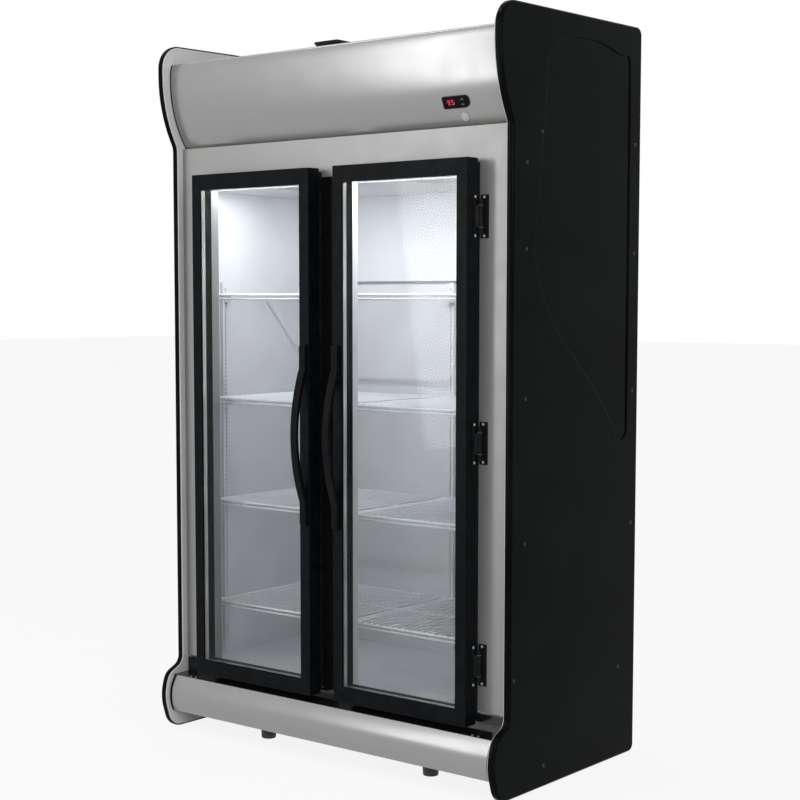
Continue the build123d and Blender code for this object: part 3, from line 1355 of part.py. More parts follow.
def refrigerant_pipes():
    """Discharge, liquid and suction pipes, and the filter drier."""
    condenser_left = CONDENSER_X - CONDENSER_WIDTH / 2
    condenser_right = CONDENSER_X + CONDENSER_WIDTH / 2
    header_y = (CONDENSER_Y + CONDENSER_BACK_Y) / 2
    hot_z = DECK_Z + DISCHARGE_SHARE * COMPRESSOR_HEIGHT
    cold_z = DECK_Z + SUCTION_SHARE * COMPRESSOR_HEIGHT
    low_z = DECK_Z + LIQUID_RISE
    port_y = header_y - LIQUID_PORT_FORWARD
    turn_x = (BOX_RIGHT_X + condenser_left) / 2
    discharge = tube_run(
        [
            (COMPRESSOR_X + COMPRESSOR_RADIUS + SEAT_GAP / 3, COMPRESSOR_Y, hot_z),
            (turn_x, COMPRESSOR_Y, hot_z),
            (turn_x, header_y, hot_z),
            (condenser_left, header_y, hot_z),
        ],
        PIPE_RADIUS,
        PIPE_BEND,
    )
    drier_x = condenser_right + DRIER_OUTSET
    drier_y = header_y + DRIER_SETBACK
    drier_end = drier_y + DRIER_LENGTH
    to_drier = tube_run(
        [
            (condenser_right, port_y, low_z),
            (drier_x, port_y, low_z),
            (drier_x, drier_y, low_z),
        ],
        PIPE_RADIUS,
        PIPE_BEND,
    )
    drier = rod((drier_x, drier_y, low_z), (drier_x, drier_end, low_z), DRIER_RADIUS)
    liquid = tube_run(
        [
            (drier_x, drier_end, low_z),
            (drier_x, LIQUID_Y, low_z),
            (LIQUID_X, LIQUID_Y, low_z),
            (LIQUID_X, LIQUID_Y, PIPE_DROP_Z),
            (COOLER_END_X, LIQUID_Y, PIPE_DROP_Z),
        ],
        PIPE_RADIUS / 2,
        PIPE_BEND,
    )
    behind_y = COMPRESSOR_Y + COMPRESSOR_RADIUS + 2 * PIPE_BEND
    suction = tube_run(
        [
            (COOLER_END_X, SUCTION_Y, PIPE_DROP_Z),
            (SUCTION_X, SUCTION_Y, PIPE_DROP_Z),
            (SUCTION_X, SUCTION_Y, cold_z),
            (SUCTION_X, behind_y, cold_z),
            (COMPRESSOR_X, behind_y, cold_z),
            (COMPRESSOR_X, COMPRESSOR_Y + COMPRESSOR_RADIUS + SEAT_GAP / 3, cold_z),
        ],
        PIPE_RADIUS,
        PIPE_BEND,
    )
    return [discharge, to_drier, drier, liquid, suction]


# Controls in the header
def rounded_plate(width, height, left_round, right_round, z0, z1):
    """A plate in (x, y) with its own corner radius at each end."""
    plate = Pos(0, 0, (z0 + z1) / 2) * Box(width, height, z1 - z0)
    uprights = plate.edges().filter_by(Axis.Z).sort_by(Axis.X)
    plate = fillet(uprights[2:], right_round)
    uprights = plate.edges().filter_by(Axis.Z).sort_by(Axis.X)
    return fillet(uprights[:2], left_round)


def key_place(side):
    """Centre of a key on the controller, in the controller's own plane."""
    return KEY_OFFSET, side * KEY_SPREAD


def controller_case():
    """Thermostat case: bezel on the header's face and body behind it."""
    bezel = rounded_plate(
        CONTROL_WIDTH, CONTROL_HEIGHT, CONTROL_LEFT_ROUND, CONTROL_RIGHT_ROUND, SEAT_GAP / 3, CONTROL_BEZEL
    )
    rim = bezel.edges().group_by(Axis.Z)[-1]
    bezel = fillet(rim, CONTROL_RIM_ROUND)
    width = CONTROL_WIDTH - 2 * CONTROL_BODY_MARGIN
    height = CONTROL_HEIGHT - 2 * CONTROL_BODY_MARGIN
    body = Pos(0, 0, -CONTROL_BODY_DEPTH / 2 + 1) * Box(width, height, CONTROL_BODY_DEPTH)
    display = Pos(-DISPLAY_OFFSET, 0, CONTROL_BEZEL) * Box(DISPLAY_WIDTH, DISPLAY_HEIGHT, 2 * DISPLAY_RECESS)
    case = bezel + body - display
    for side in (-1, 1):
        x, y = key_place(side)
        pocket_depth = CONTROL_BEZEL - KEY_TRAVEL
        pocket = Box(KEY_WIDTH + 2 * KEY_CLEARANCE, KEY_HEIGHT + 2 * KEY_CLEARANCE, 2 * pocket_depth)
        case = case - Pos(x, y, CONTROL_BEZEL) * pocket
    return header_plane(CONTROL_X, CONTROL_Z) * case


def controller_key(side):
    """One of the two keys of the controller."""
    x, y = key_place(side)
    foot = 2 * KEY_TRAVEL + KEY_CLEARANCE
    top = CONTROL_BEZEL + KEY_PROUD
    key = Pos(x, y, (foot + top) / 2) * Box(KEY_WIDTH, KEY_HEIGHT, top - foot)
    key = fillet(key.edges().filter_by(Axis.Z), KEY_CORNER_ROUND)
    key = fillet(key.edges().group_by(Axis.Z)[-1], KEY_TOP_ROUND)
    return header_plane(CONTROL_X, CONTROL_Z) * key


def lamp_switch_case():
    """Round case of the lamp switch, with its ring on the header's face."""
    ring = rod((0, 0, SEAT_GAP / 3), (0, 0, SWITCH_RING_RISE), SWITCH_RING_RADIUS)
    ring = fillet(ring.edges().sort_by(Axis.Z)[-1], SWITCH_RING_ROUND)
    body = Pos(0, 0, -SWITCH_BODY_DEPTH / 2 + 1) * Cylinder(SWITCH_BODY_RADIUS, SWITCH_BODY_DEPTH)
    bore = SWITCH_BUTTON_RADIUS + KEY_CLEARANCE
    floor = -SWITCH_BODY_DEPTH + 1 + SWITCH_WALL
    well = Pos(0, 0, (floor + SWITCH_PROUD) / 2) * Cylinder(bore, SWITCH_PROUD - floor)
    return header_plane(SWITCH_X, SWITCH_Z) * (ring + body - well)


def lamp_switch_button():
    """Round push button of the lamp switch."""
    floor = -SWITCH_BODY_DEPTH + 1 + SWITCH_WALL + SWITCH_TRAVEL + SEAT_GAP
    button = Pos(0, 0, (floor + SWITCH_PROUD) / 2) * Cylinder(SWITCH_BUTTON_RADIUS, SWITCH_PROUD - floor)
    button = fillet(button.edges().sort_by(Axis.Z)[-1], SWITCH_BUTTON_ROUND)
    return header_plane(SWITCH_X, SWITCH_Z) * button


# Doors
def window_box(x0, x1, y0, y1, z0, z1, grow):
    """A box over a door rectangle, grown by the same amount on every side."""
    return block(x0 - grow, x1 + grow, y0, y1, z0 - grow, z1 + grow)


def sight_line():
    """Inner edges of the right-hand door's frame: x0, x1, z0, z1."""
    return (
        DOOR_INNER_X + DOOR_STILE,
        DOOR_OUTER_X - DOOR_STILE,
        DOOR_BOTTOM_Z + DOOR_BOTTOM_RAIL,
        DOOR_TOP_Z - DOOR_TOP_RAIL,
    )


def in_sight_line(y0, y1, grow):
    """A box as large as the visible glass, grown on every side."""
    x0, x1, z0, z1 = sight_line()
    return window_box(x0, x1, y0, y1, z0, z1, grow)


def mitre_cut(outer, inner):
    """Thin slab along the mitre from an outer corner to an inner one, both (x, z)."""
    along = Vector(inner[0] - outer[0], 0, inner[1] - outer[1])
    plane = Plane(origin=(outer[0], DOOR_FRONT_Y - 1, outer[1]), x_dir=along, z_dir=(0, 1, 0))
    length = 2 * along.length
    slab = Pos(along.length / 2, 0, DOOR_THICKNESS / 2 + 1) * Box(length, MITRE_GAP, DOOR_THICKNESS + 2)
    return plane * slab


def door_frame():
    """Right-hand door frame: four mitred bars with a glazing groove."""
    x0, x1, z0, z1 = sight_line()
    body = block(DOOR_INNER_X, DOOR_OUTER_X, DOOR_FRONT_Y, DOOR_BACK_Y, DOOR_BOTTOM_Z, DOOR_TOP_Z)
    body = fillet(body.edges(), DOOR_EDGE_ROUND)
    groove_back = PANE_FRONT_Y + GLAZING_THICKNESS + GLAZING_CLEARANCE
    groove_front = PANE_FRONT_Y - GLAZING_CLEARANCE
    body = body - in_sight_line(DOOR_FRONT_Y - 1, DOOR_BACK_Y + 1, 0)
    body = body - in_sight_line(groove_front, groove_back, GLAZING_DEPTH + GLAZING_CLEARANCE)
    corners = [
        ((DOOR_INNER_X, DOOR_BOTTOM_Z), (x0, z0)),
        ((DOOR_OUTER_X, DOOR_BOTTOM_Z), (x1, z0)),
        ((DOOR_INNER_X, DOOR_TOP_Z), (x0, z1)),
        ((DOOR_OUTER_X, DOOR_TOP_Z), (x1, z1)),
    ]
    for outer, inner in corners:
        body = body - mitre_cut(outer, inner)
    return body


def door_glass():
    """Front and rear panes of the right-hand door."""
    rear = PANE_FRONT_Y + PANE + PANE_GAP
    front_pane = in_sight_line(PANE_FRONT_Y, PANE_FRONT_Y + PANE, GLAZING_DEPTH)
    rear_pane = in_sight_line(rear, rear + PANE, GLAZING_DEPTH)
    return [front_pane, rear_pane]


def door_spacer():
    """Spacer bar between the panes of the right-hand door."""
    y0 = PANE_FRONT_Y + PANE
    y1 = y0 + PANE_GAP
    outer = in_sight_line(y0, y1, SPACER_WIDTH - SPACER_SHOWING)
    return outer - in_sight_line(y0, y1, -SPACER_SHOWING)


def door_gasket():
    """Magnetic seal on the back of the right-hand door."""
    x0 = MULLION_X
    x1 = OPENING_X
    z0 = OPENING_BOTTOM_Z
    z1 = OPENING_TOP_Z
    front = DOOR_BACK_Y
    back = FACE_Y - SEAT_GAP
    ring = window_box(x0, x1, front, back, z0, z1, GASKET_WIDTH)
    ring = ring - window_box(x0, x1, front, back, z0, z1, SEAT_GAP)
    middle = (front + back) / 2
    half = GASKET_GROOVE / 2
    y0 = middle - half
    y1 = middle + half
    outer_groove = window_box(x0, x1, y0, y1, z0, z1, GASKET_WIDTH)
    outer_groove = outer_groove - window_box(x0, x1, y0, y1, z0, z1, GASKET_WIDTH - half)
    inner_groove = window_box(x0, x1, y0, y1, z0, z1, half + SEAT_GAP)
    return ring - outer_groove - inner_groove


def door_handle():
    """Right-hand bow handle: two pads on the door and an arched grip between them."""
    face = DOOR_FRONT_Y
    pad = face - HANDLE_PAD_THICKNESS
    crown = HANDLE_FRONT_Y
    low = HANDLE_BOTTOM_Z
    high = HANDLE_TOP_Z
    middle = (low + high) / 2
    arc_low = low + HANDLE_PAD_LENGTH - HANDLE_PAD_THICKNESS
    arc_high = high - HANDLE_PAD_LENGTH + HANDLE_PAD_THICKNESS
    outer = Polyline((pad, arc_low), (pad, low), (face, low), (face, high), (pad, high), (pad, arc_high))
    outer += ThreePointArc((pad, arc_high), (crown, middle), (pad, arc_low))
    body = along_x(make_face(outer), HANDLE_X - HANDLE_WIDTH / 2, HANDLE_X + HANDLE_WIDTH / 2)
    gap_low = (face, low + HANDLE_PAD_LENGTH)
    gap_high = (face, high - HANDLE_PAD_LENGTH)
    gap = Line(gap_low, gap_high)
    gap += ThreePointArc(gap_high, (crown + HANDLE_BOW_THICKNESS, middle), gap_low)
    hole = along_x(make_face(gap), HANDLE_X - HANDLE_WIDTH, HANDLE_X + HANDLE_WIDTH)
    tips = [edge for edge in body.edges().filter_by(Axis.X) if edge.center().Y < pad + 1]
    tips = [edge for edge in tips if not arc_low - 1 < edge.center().Z < arc_high + 1]
    body = fillet(tips, HANDLE_TIP_ROUND)
    front_edges = [edge for edge in body.edges() if edge.center().Y < pad + 3 and not is_along_x(edge)]
    body = fillet(front_edges, HANDLE_ROUND)
    return body - hole


def is_along_x(edge):
    """Whether an edge runs straight across the handle."""
    ends = (edge @ 1) - (edge @ 0)
    return abs(ends.Y) + abs(ends.Z) < 0.01


def knuckle(z0, z1):
    """One barrel segment of a hinge."""
    return rod((PIVOT_X, PIVOT_Y, z0), (PIVOT_X, PIVOT_Y, z1), KNUCKLE_RADIUS)


def pin_bore(z0, z1):
    """Bore for the hinge pin."""
    return rod((PIVOT_X, PIVOT_Y, z0 - 1), (PIVOT_X, PIVOT_Y, z1 + 1), PIN_RADIUS + SHAFT_CLEARANCE)


def hinge_frame_side(z):
    """Frame leaf with the end knuckles, its pin, washers and screws, at one height."""
    low = z - HINGE_HEIGHT / 2
    high = z + HINGE_HEIGHT / 2
    barrel_low = low + HINGE_TAB_HEIGHT
    barrel_high = high - HINGE_TAB_HEIGHT
    x0 = PIVOT_X - FRAME_LEAF_START
    x1 = x0 + FRAME_LEAF_WIDTH
    front = FACE_Y - LEAF_THICKNESS
    leaf = block(x0, x1, front, FACE_Y, low, high)
    web_x = HINGE_WEB_WIDTH / 2
    for z0 in (barrel_low, barrel_high - HINGE_END_KNUCKLE):
        z1 = z0 + HINGE_END_KNUCKLE
        web = block(PIVOT_X - web_x, PIVOT_X + web_x, PIVOT_Y, FACE_Y - LEAF_THICKNESS / 2, z0, z1)
        leaf = leaf + knuckle(z0, z1) + web
    leaf = leaf - pin_bore(barrel_low, barrel_high)
    pin = rod((PIVOT_X, PIVOT_Y, barrel_low), (PIVOT_X, PIVOT_Y, barrel_high), PIN_RADIUS)
    parts = [pin]
    for edge in (barrel_low + HINGE_END_KNUCKLE, barrel_high - HINGE_END_KNUCKLE - WASHER_THICKNESS):
        washer = knuckle(edge, edge + WASHER_THICKNESS)
        parts.append(washer - pin_bore(edge, edge + WASHER_THICKNESS))
    screw_x = x1 - LEAF_SCREW_EDGE
    for screw_z in (z - LEAF_SCREW_SPREAD, z + LEAF_SCREW_SPREAD):
        seat = (screw_x, front, screw_z)
        back = (screw_x, FACE_Y, screw_z)
        leaf = leaf - rod(seat, back, SCREW_SHANK_RADIUS + SCREW_CLEARANCE)
        head = rod((screw_x, front - LEAF_SCREW_RISE, screw_z), seat, LEAF_SCREW_HEAD)
        parts.append(head + rod(seat, back, SCREW_SHANK_RADIUS))
    return [leaf, *parts]


def hinge_door_side(z):
    """Door leaf with the middle knuckle and its two screws, at one height."""
    low = z - HINGE_HEIGHT / 2
    high = z + HINGE_HEIGHT / 2
    x0 = DOOR_OUTER_X
    x1 = x0 + DOOR_LEAF_THICKNESS
    back = PIVOT_Y - DOOR_LEAF_CLEARANCE
    leaf = block(x0, x1, back - DOOR_LEAF_DEPTH, back, low, high)
    knuckle_inset = HINGE_TAB_HEIGHT + HINGE_END_KNUCKLE + WASHER_THICKNESS + WASHER_GAP
    z0 = low + knuckle_inset
    z1 = high - knuckle_inset
    web = Polyline(
        (x0, back - KNUCKLE_RADIUS),
        (x0, back),
        (PIVOT_X - WEB_REACH * KNUCKLE_RADIUS, PIVOT_Y + WEB_RISE * KNUCKLE_RADIUS),
        (PIVOT_X, PIVOT_Y - WEB_REACH * KNUCKLE_RADIUS),
        close=True,
    )
    leaf = leaf + along_z(make_face(web), z0, z1) + knuckle(z0, z1)
    leaf = leaf - pin_bore(z0, z1)
    parts = []
    screw_y = back - DOOR_LEAF_DEPTH / 2 - 1
    for screw_z in (z - LEAF_SCREW_SPREAD, z + LEAF_SCREW_SPREAD):
        seat = (x1, screw_y, screw_z)
        leaf = leaf - rod((x0, screw_y, screw_z), seat, SCREW_SHANK_RADIUS + SCREW_CLEARANCE)
        head = rod(seat, (x1 + LEAF_SCREW_RISE, screw_y, screw_z), LEAF_SCREW_HEAD)
        parts.append(head + rod((x0, screw_y, screw_z), seat, SCREW_SHANK_RADIUS))
    return [leaf, *parts]


def main():
    os.makedirs("parts", exist_ok=True)
    panel = side_panel()
    save("side_panel_right", panel)
    save("side_panel_left", flipped(panel))
    sheet = side_sheet()
    save("side_sheet_right", sheet)
    save("side_sheet_left", flipped(sheet))
    save("cover_screws", *on_both_sides(*panel_screws(), *sill_screws()))

    stile = frame_stile()
    save("frame_stile_right", stile)
    save("frame_stile_left", flipped(stile))
    save("frame_rails", top_rail(), bottom_rail())
    save("sill_strip", sill_strip())
    save("mullion", *mullion())
    save("header_panel", header_panel())
    save("kick_panel", kick_panel())
    save("edge_trims", *edge_trims())

    save("liner_walls", *lining(), liner_ceiling())
    save("insulation", *insulation())
    save("machine_deck", machine_deck())
    save("back_panel", back_panel())
    save("rear_grille", *rear_grille())

    save("base_frame", *base_frame())
    save("drain_tray", *drain_tray())
    for name, (x, y) in foot_places().items():
        save(f"foot_{name}", levelling_foot(x, y))

    top_half = shelf_half()
    for level in range(SHELF_LEVELS):
        half = Pos(0, 0, -level * SHELF_PITCH) * top_half
        save(f"shelf_level_{level + 1}", half, flipped(half))
    save("shelf_supports", *shelf_supports())

    save("evaporator_cover", *evaporator_cover())
    save("evaporator_coil", evaporator_coil())
    save("evaporator_fan_right", cooler_fan(COOLER_FAN_X))
    save("evaporator_fan_left", cooler_fan(-COOLER_FAN_X))
    save("evaporator_fan_motors", cooler_fan_motor(COOLER_FAN_X), cooler_fan_motor(-COOLER_FAN_X))
    save("lamp_battens", *on_both_sides(lamp_batten()))

    save("condenser", condenser())
    save("condenser_shroud", condenser_shroud())
    save("condenser_fan", condenser_fan())
    save("condenser_fan_motor", condenser_fan_motor())
    save("compressor", *compressor())
    save("electrical_box", electrical_box())
    save("refrigerant_pipes", *refrigerant_pipes())

    save("controller_case", controller_case())
    save("controller_key_up", controller_key(1))
    save("controller_key_down", controller_key(-1))
    save("lamp_switch_case", lamp_switch_case())
    save("lamp_switch_button", lamp_switch_button())

    hinge_sets = {
        "door_frame": [door_frame()],
        "door_glass": door_glass(),
        "door_spacer": [door_spacer()],
        "door_gasket": [door_gasket()],
        "door_handle": [door_handle()],
        "door_hinge_leaves": [part for z in HINGE_LEVELS for part in hinge_door_side(z)],
    }
    for node, shapes in hinge_sets.items():
        save(f"{node}_right", *shapes)
        save(f"{node}_left", *[flipped(shape) for shape in shapes])
    frame_leaves = [part for z in HINGE_LEVELS for part in hinge_frame_side(z)]
    save("frame_hinge_leaves", *on_both_sides(*frame_leaves))


main()
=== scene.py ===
"""Upright display refrigerator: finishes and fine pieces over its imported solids."""
import math

import bmesh
import bpy
from mathutils import Euler, Matrix, Vector


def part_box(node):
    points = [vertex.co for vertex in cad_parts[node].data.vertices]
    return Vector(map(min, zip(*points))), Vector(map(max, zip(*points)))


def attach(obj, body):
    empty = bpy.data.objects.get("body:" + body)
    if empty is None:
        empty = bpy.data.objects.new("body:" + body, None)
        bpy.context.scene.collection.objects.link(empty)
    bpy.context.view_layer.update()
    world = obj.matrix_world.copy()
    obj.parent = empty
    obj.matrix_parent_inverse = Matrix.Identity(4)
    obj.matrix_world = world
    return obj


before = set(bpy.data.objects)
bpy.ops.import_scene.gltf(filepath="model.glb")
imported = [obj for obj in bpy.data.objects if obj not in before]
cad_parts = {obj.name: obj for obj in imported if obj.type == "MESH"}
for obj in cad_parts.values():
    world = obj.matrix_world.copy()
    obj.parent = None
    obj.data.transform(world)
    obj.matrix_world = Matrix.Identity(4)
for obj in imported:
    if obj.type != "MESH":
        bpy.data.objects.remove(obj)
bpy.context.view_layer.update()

bl_info = {
    "name": "Display refrigerator",
    "version": (1, 0, 0),
    "blender": (4, 5, 0),
    "location": "3D View > Sidebar > Refrigerator",
    "description": "Dresses the solids of an upright display refrigerator and sets its stage",
    "category": "Object",
}

# The camera of the photograph, in metres and degrees
CAMERA_PLACE = (3.0118, -3.7054, 1.3124)
CAMERA_YAW = 39.285
CAMERA_PITCH = -4.843
CAMERA_LENS = 73.54
CAMERA_SHIFT = (0.01892, 0.04642)

# The header's face at the thermostat
CONTROL_PLACE = (0.4398, -0.26915, 1.8204)
CONTROL_LEAN = math.radians(23.578)

# What is drawn on the thermostat's face, in metres from its middle, and how far above the header it lies
WINDOW_LOW = (-0.0306, -0.0091, 0)
WINDOW_HIGH = (0.0046, 0.0091, 0.0003)
WINDOW_LIFT = 0.0043
DIGIT_LEFTS = (-0.0255, -0.0115)
DIGIT_BASE = -0.0055
DIGIT_SIZE = (0.0072, 0.011, 0.0017)
POINT_LOW = (-0.0156, -0.0062, 0)
POINT_HIGH = (-0.014, -0.0046, 0.0003)
DIGIT_LIFT = 0.00462
KEY_MARKS = (("up", 0, 0.0065), ("down", math.pi, -0.0065))
KEY_MARK_X = 0.023
KEY_MARK_LIFT = 0.0056

# The post is black as deep as its cover plate and the skin under it
POST_BLACK = 0.0032

# Hinges: their middle heights, and what shows bright on them, in metres from the middle
HINGE_FIRST = 0.3465
HINGE_STEP = 0.58885
HINGE_WASHER = (0.0274, 0.0291)
HINGE_SCREW = (0.046, 0.054)
FRAME_LEAF_DEPTH = 0.0026
DOOR_LEAF_DEPTH = 0.0021

# The glass reaches this far into the door's bars
GLASS_BITE = 0.012

# The weld seam round the compressor's shell, above its lowest point
COMPRESSOR_AXIS = (-0.33, 0.1513)
SEAM_RISE = 0.125
SEAM_RADIUS = 0.0882
SEAM_ROUND = 0.0022

# Inner lamps: how far from the middle, how long and deep their light is, and how far it turns to the back
LAMP_X = 0.27
LAMP_LIGHT = (0.4, 0.02)
LAMP_TURN = math.radians(36)

# Studio lamps: name, place, what they face, width and height in metres, and roll in degrees
STUDIO_LAMPS = (
    ("key_light", (-2.15, -3.6, 2.5), (0.4, -0.3, 2.8), (0.5, 3.9), 6),
    ("top_light", (-1.4, -0.9, 4.3), (0.4, -0.2, 2), (0.6, 1.4), 0),
    ("fill_light", (4.0, -3.3, 2.6), (0.2, 0, 1.1), (2.0, 2.0), 0),
)
FLOOR_SHARE = 0.88

SIDES = ("left", "right")


class CabinetSettings(bpy.types.PropertyGroup):
    """Finishes of the cabinet's outside."""

    panel_color: bpy.props.FloatVectorProperty(
        name="Panel colour", description="Moulded side panels", subtype="COLOR", size=3,
        default=(0.0022, 0.003, 0.0032),
    )
    panel_roughness: bpy.props.FloatProperty(
        name="Panel roughness", description="Gloss of the side panels", subtype="FACTOR", min=0, max=1, default=0.2
    )
    silver_color: bpy.props.FloatVectorProperty(
        name="Silver colour", description="Header, kick panel and front frame", subtype="COLOR", size=3,
        default=(0.31, 0.31, 0.308),
    )
    sheet_color: bpy.props.FloatVectorProperty(
        name="Sheet colour", description="Painted side sheets and back", subtype="COLOR", size=3,
        default=(0.68, 0.685, 0.69),
    )


class DoorSettings(bpy.types.PropertyGroup):
    """Finishes of the doors."""

    bar_color: bpy.props.FloatVectorProperty(
        name="Bar colour", description="Anodised door frames", subtype="COLOR", size=3,
        default=(0.0035, 0.0048, 0.0062),
    )
    glass_tint: bpy.props.FloatVectorProperty(
        name="Glass tint", description="Colour of the panes", subtype="COLOR", size=3, default=(0.97, 0.985, 0.98)
    )
    bead_width: bpy.props.FloatProperty(
        name="Bead width", description="Rubber bead round the glass", subtype="DISTANCE", unit="LENGTH",
        min=0.001, max=0.006, default=0.0018,
    )


class ColdSpaceSettings(bpy.types.PropertyGroup):
    """Finishes and lamps inside the cabinet."""

    liner_color: bpy.props.FloatVectorProperty(
        name="Liner colour", description="White lining and shelves", subtype="COLOR", size=3,
        default=(0.73, 0.735, 0.765),
    )
    lamp_power: bpy.props.FloatProperty(
        name="Lamp power", description="Light of each lamp batten, in watts", min=0, max=50, default=3.0
    )
    lamp_color: bpy.props.FloatVectorProperty(
        name="Lamp colour", description="Tone of the lamps", subtype="COLOR", size=3, default=(0.96, 0.965, 1.0)
    )


class ControlSettings(bpy.types.PropertyGroup):
    """The thermostat's display."""

    reading: bpy.props.FloatProperty(
        name="Reading", description="Temperature that the display shows", min=0, max=9.9, default=3.5
    )
    digit_color: bpy.props.FloatVectorProperty(
        name="Digit colour", description="Light of the digits", subtype="COLOR", size=3, default=(1.0, 0.03, 0.1)
    )


class StageSettings(bpy.types.PropertyGroup):
    """Light round the refrigerator."""

    world_light: bpy.props.FloatProperty(
        name="World light", description="Soft light from all round", min=0, max=2, default=0.5
    )
    key_light: bpy.props.FloatProperty(
        name="Key light", description="Tall soft box on the left, in watts", min=0, max=1000, default=38.0
    )
    top_light: bpy.props.FloatProperty(
        name="Top light", description="Soft box above the header, in watts", min=0, max=1000, default=14.0
    )
    fill_light: bpy.props.FloatProperty(
        name="Fill light", description="Broad soft box on the right, in watts", min=0, max=1000, default=80.0
    )


def math_node(nodes, link, operation, *values):
    """A Math node fed by sockets and numbers."""
    node = nodes.new("ShaderNodeMath")
    node.operation = operation
    for socket, value in zip(node.inputs, values):
        if isinstance(value, (int, float)):
            socket.default_value = value
        else:
            link(value, socket)
    return node.outputs["Value"]


def seen_rays(nodes, link, share):
    """A share for rays from the camera, off gloss and through glass, and 0 once a ray has lit a matt surface."""
    path = nodes.new("ShaderNodeLightPath").outputs
    seen = math_node(nodes, link, "MAXIMUM", path["Is Camera Ray"], path["Is Glossy Ray"])
    seen = math_node(nodes, link, "MAXIMUM", seen, path["Is Transmission Ray"])
    direct = math_node(nodes, link, "LESS_THAN", path["Diffuse Depth"], 0.5)
    return math_node(nodes, link, "MULTIPLY", math_node(nodes, link, "MULTIPLY", seen, direct), share)


class Finish:
    """A material in the making: its shader and the patterns that feed it."""

    def __init__(self, name, color, roughness, metallic=0.0, sockets=None):
        self.material = bpy.data.materials.new(name)
        self.material.use_nodes = True
        self.nodes = self.material.node_tree.nodes
        self.link = self.material.node_tree.links.new
        self.shader = self.nodes["Principled BSDF"]
        self.shader.inputs["Base Color"].default_value = (*color, 1)
        self.shader.inputs["Roughness"].default_value = roughness
        self.shader.inputs["Metallic"].default_value = metallic
        for socket, value in (sockets or {}).items():
            self.shader.inputs[socket].default_value = value
        self.normal = None

    def place(self, stretch=(1, 1, 1)):
        """Object coordinates, stretched along the axes."""
        source = self.nodes.new("ShaderNodeTexCoord")
        mapping = self.nodes.new("ShaderNodeMapping")
        mapping.inputs["Scale"].default_value = stretch
        self.link(source.outputs["Object"], mapping.inputs["Vector"])
        return mapping.outputs["Vector"]

    def noise(self, per_metre, detail=3.0, stretch=(1, 1, 1)):
        """Soft irregular pattern with about so many patches a metre."""
        texture = self.nodes.new("ShaderNodeTexNoise")
        texture.inputs["Scale"].default_value = per_metre
        texture.inputs["Detail"].default_value = detail
        self.link(self.place(stretch), texture.inputs["Vector"])
        return texture.outputs["Fac"]

    def cells(self, per_metre, output="Distance"):
        """Cell pattern, for spangle, grain and foam."""
        texture = self.nodes.new("ShaderNodeTexVoronoi")
        texture.inputs["Scale"].default_value = per_metre
        self.link(self.place(), texture.inputs["Vector"])
        return texture.outputs[output]

    def waves(self, per_metre, axis, distortion=0.0):
        """Even ridges across one axis."""
        texture = self.nodes.new("ShaderNodeTexWave")
        texture.wave_type = "BANDS"
        texture.bands_direction = axis
        texture.inputs["Scale"].default_value = per_metre
        texture.inputs["Distortion"].default_value = distortion
        self.link(self.place(), texture.inputs["Vector"])
        return texture.outputs["Fac"]

    def range(self, pattern, start, stop, low, high):
        """A pattern's values from start to stop, spread from low to high."""
        spread = self.nodes.new("ShaderNodeMapRange")
        for socket, value in zip(("From Min", "From Max", "To Min", "To Max"), (start, stop, low, high)):
            spread.inputs[socket].default_value = value
        self.link(pattern, spread.inputs["Value"])
        return spread.outputs["Result"]

    def along(self, axis, start, stop):
        """0 before start and 1 after stop, along an axis in metres."""
        return self.range(self.coordinate(axis), start, stop, 0, 1)

    def combine(self, operation, *values):
        """Patterns and numbers put together."""
        return math_node(self.nodes, self.link, operation, *values)

    def coordinate(self, axis):
        """Place along an axis, in metres."""
        split = self.nodes.new("ShaderNodeSeparateXYZ")
        self.link(self.place(), split.inputs["Vector"])
        return split.outputs[axis]

    def between(self, pattern, low, high):
        """1 where a pattern lies between two values, and 0 elsewhere."""
        above = self.combine("GREATER_THAN", pattern, low)
        return self.combine("MULTIPLY", above, self.combine("LESS_THAN", pattern, high))

    def off_levels(self, first, step):
        """Height above or below the nearest of evenly stepped levels."""
        return self.combine("PINGPONG", self.combine("SUBTRACT", self.coordinate("Z"), first), step / 2)

    def gloss(self, pattern, low, high):
        """Roughness that follows a pattern."""
        self.link(self.range(pattern, 0.3, 0.7, low, high), self.shader.inputs["Roughness"])
        return self

    def tones(self, pattern, dark, light, start=0.35, stop=0.65):
        """Base colour between two tones."""
        ramp = self.nodes.new("ShaderNodeValToRGB")
        ramp.color_ramp.elements[0].position = start
        ramp.color_ramp.elements[0].color = (*dark, 1)
        ramp.color_ramp.elements[1].position = stop
        ramp.color_ramp.elements[1].color = (*light, 1)
        self.link(pattern, ramp.inputs["Fac"])
        self.link(ramp.outputs["Color"], self.shader.inputs["Base Color"])
        return self

    def over(self, mask, color):
        """Lays a second colour over the first where the mask is high."""
        mix = self.nodes.new("ShaderNodeMix")
        mix.data_type = "RGBA"
        base = self.shader.inputs["Base Color"]
        if base.is_linked:
            self.link(base.links[0].from_socket, mix.inputs["A"])
        else:
            mix.inputs["A"].default_value = base.default_value
        mix.inputs["B"].default_value = (*color, 1)
        self.link(mask, mix.inputs["Factor"])
        self.link(mix.outputs["Result"], base)
        return self

    def relief(self, pattern, depth, strength=1.0):
        """Bump so many metres deep."""
        bump = self.nodes.new("ShaderNodeBump")
        bump.inputs["Distance"].default_value = depth
        bump.inputs["Strength"].default_value = strength
        self.link(pattern, bump.inputs["Height"])
        if self.normal:
            self.link(self.normal, bump.inputs["Normal"])
        self.normal = bump.outputs["Normal"]
        self.link(self.normal, self.shader.inputs["Normal"])
        return self


def scaled(color, factor):
    """The same colour, lighter or darker."""
    return tuple(min(1.0, part * factor) for part in color)


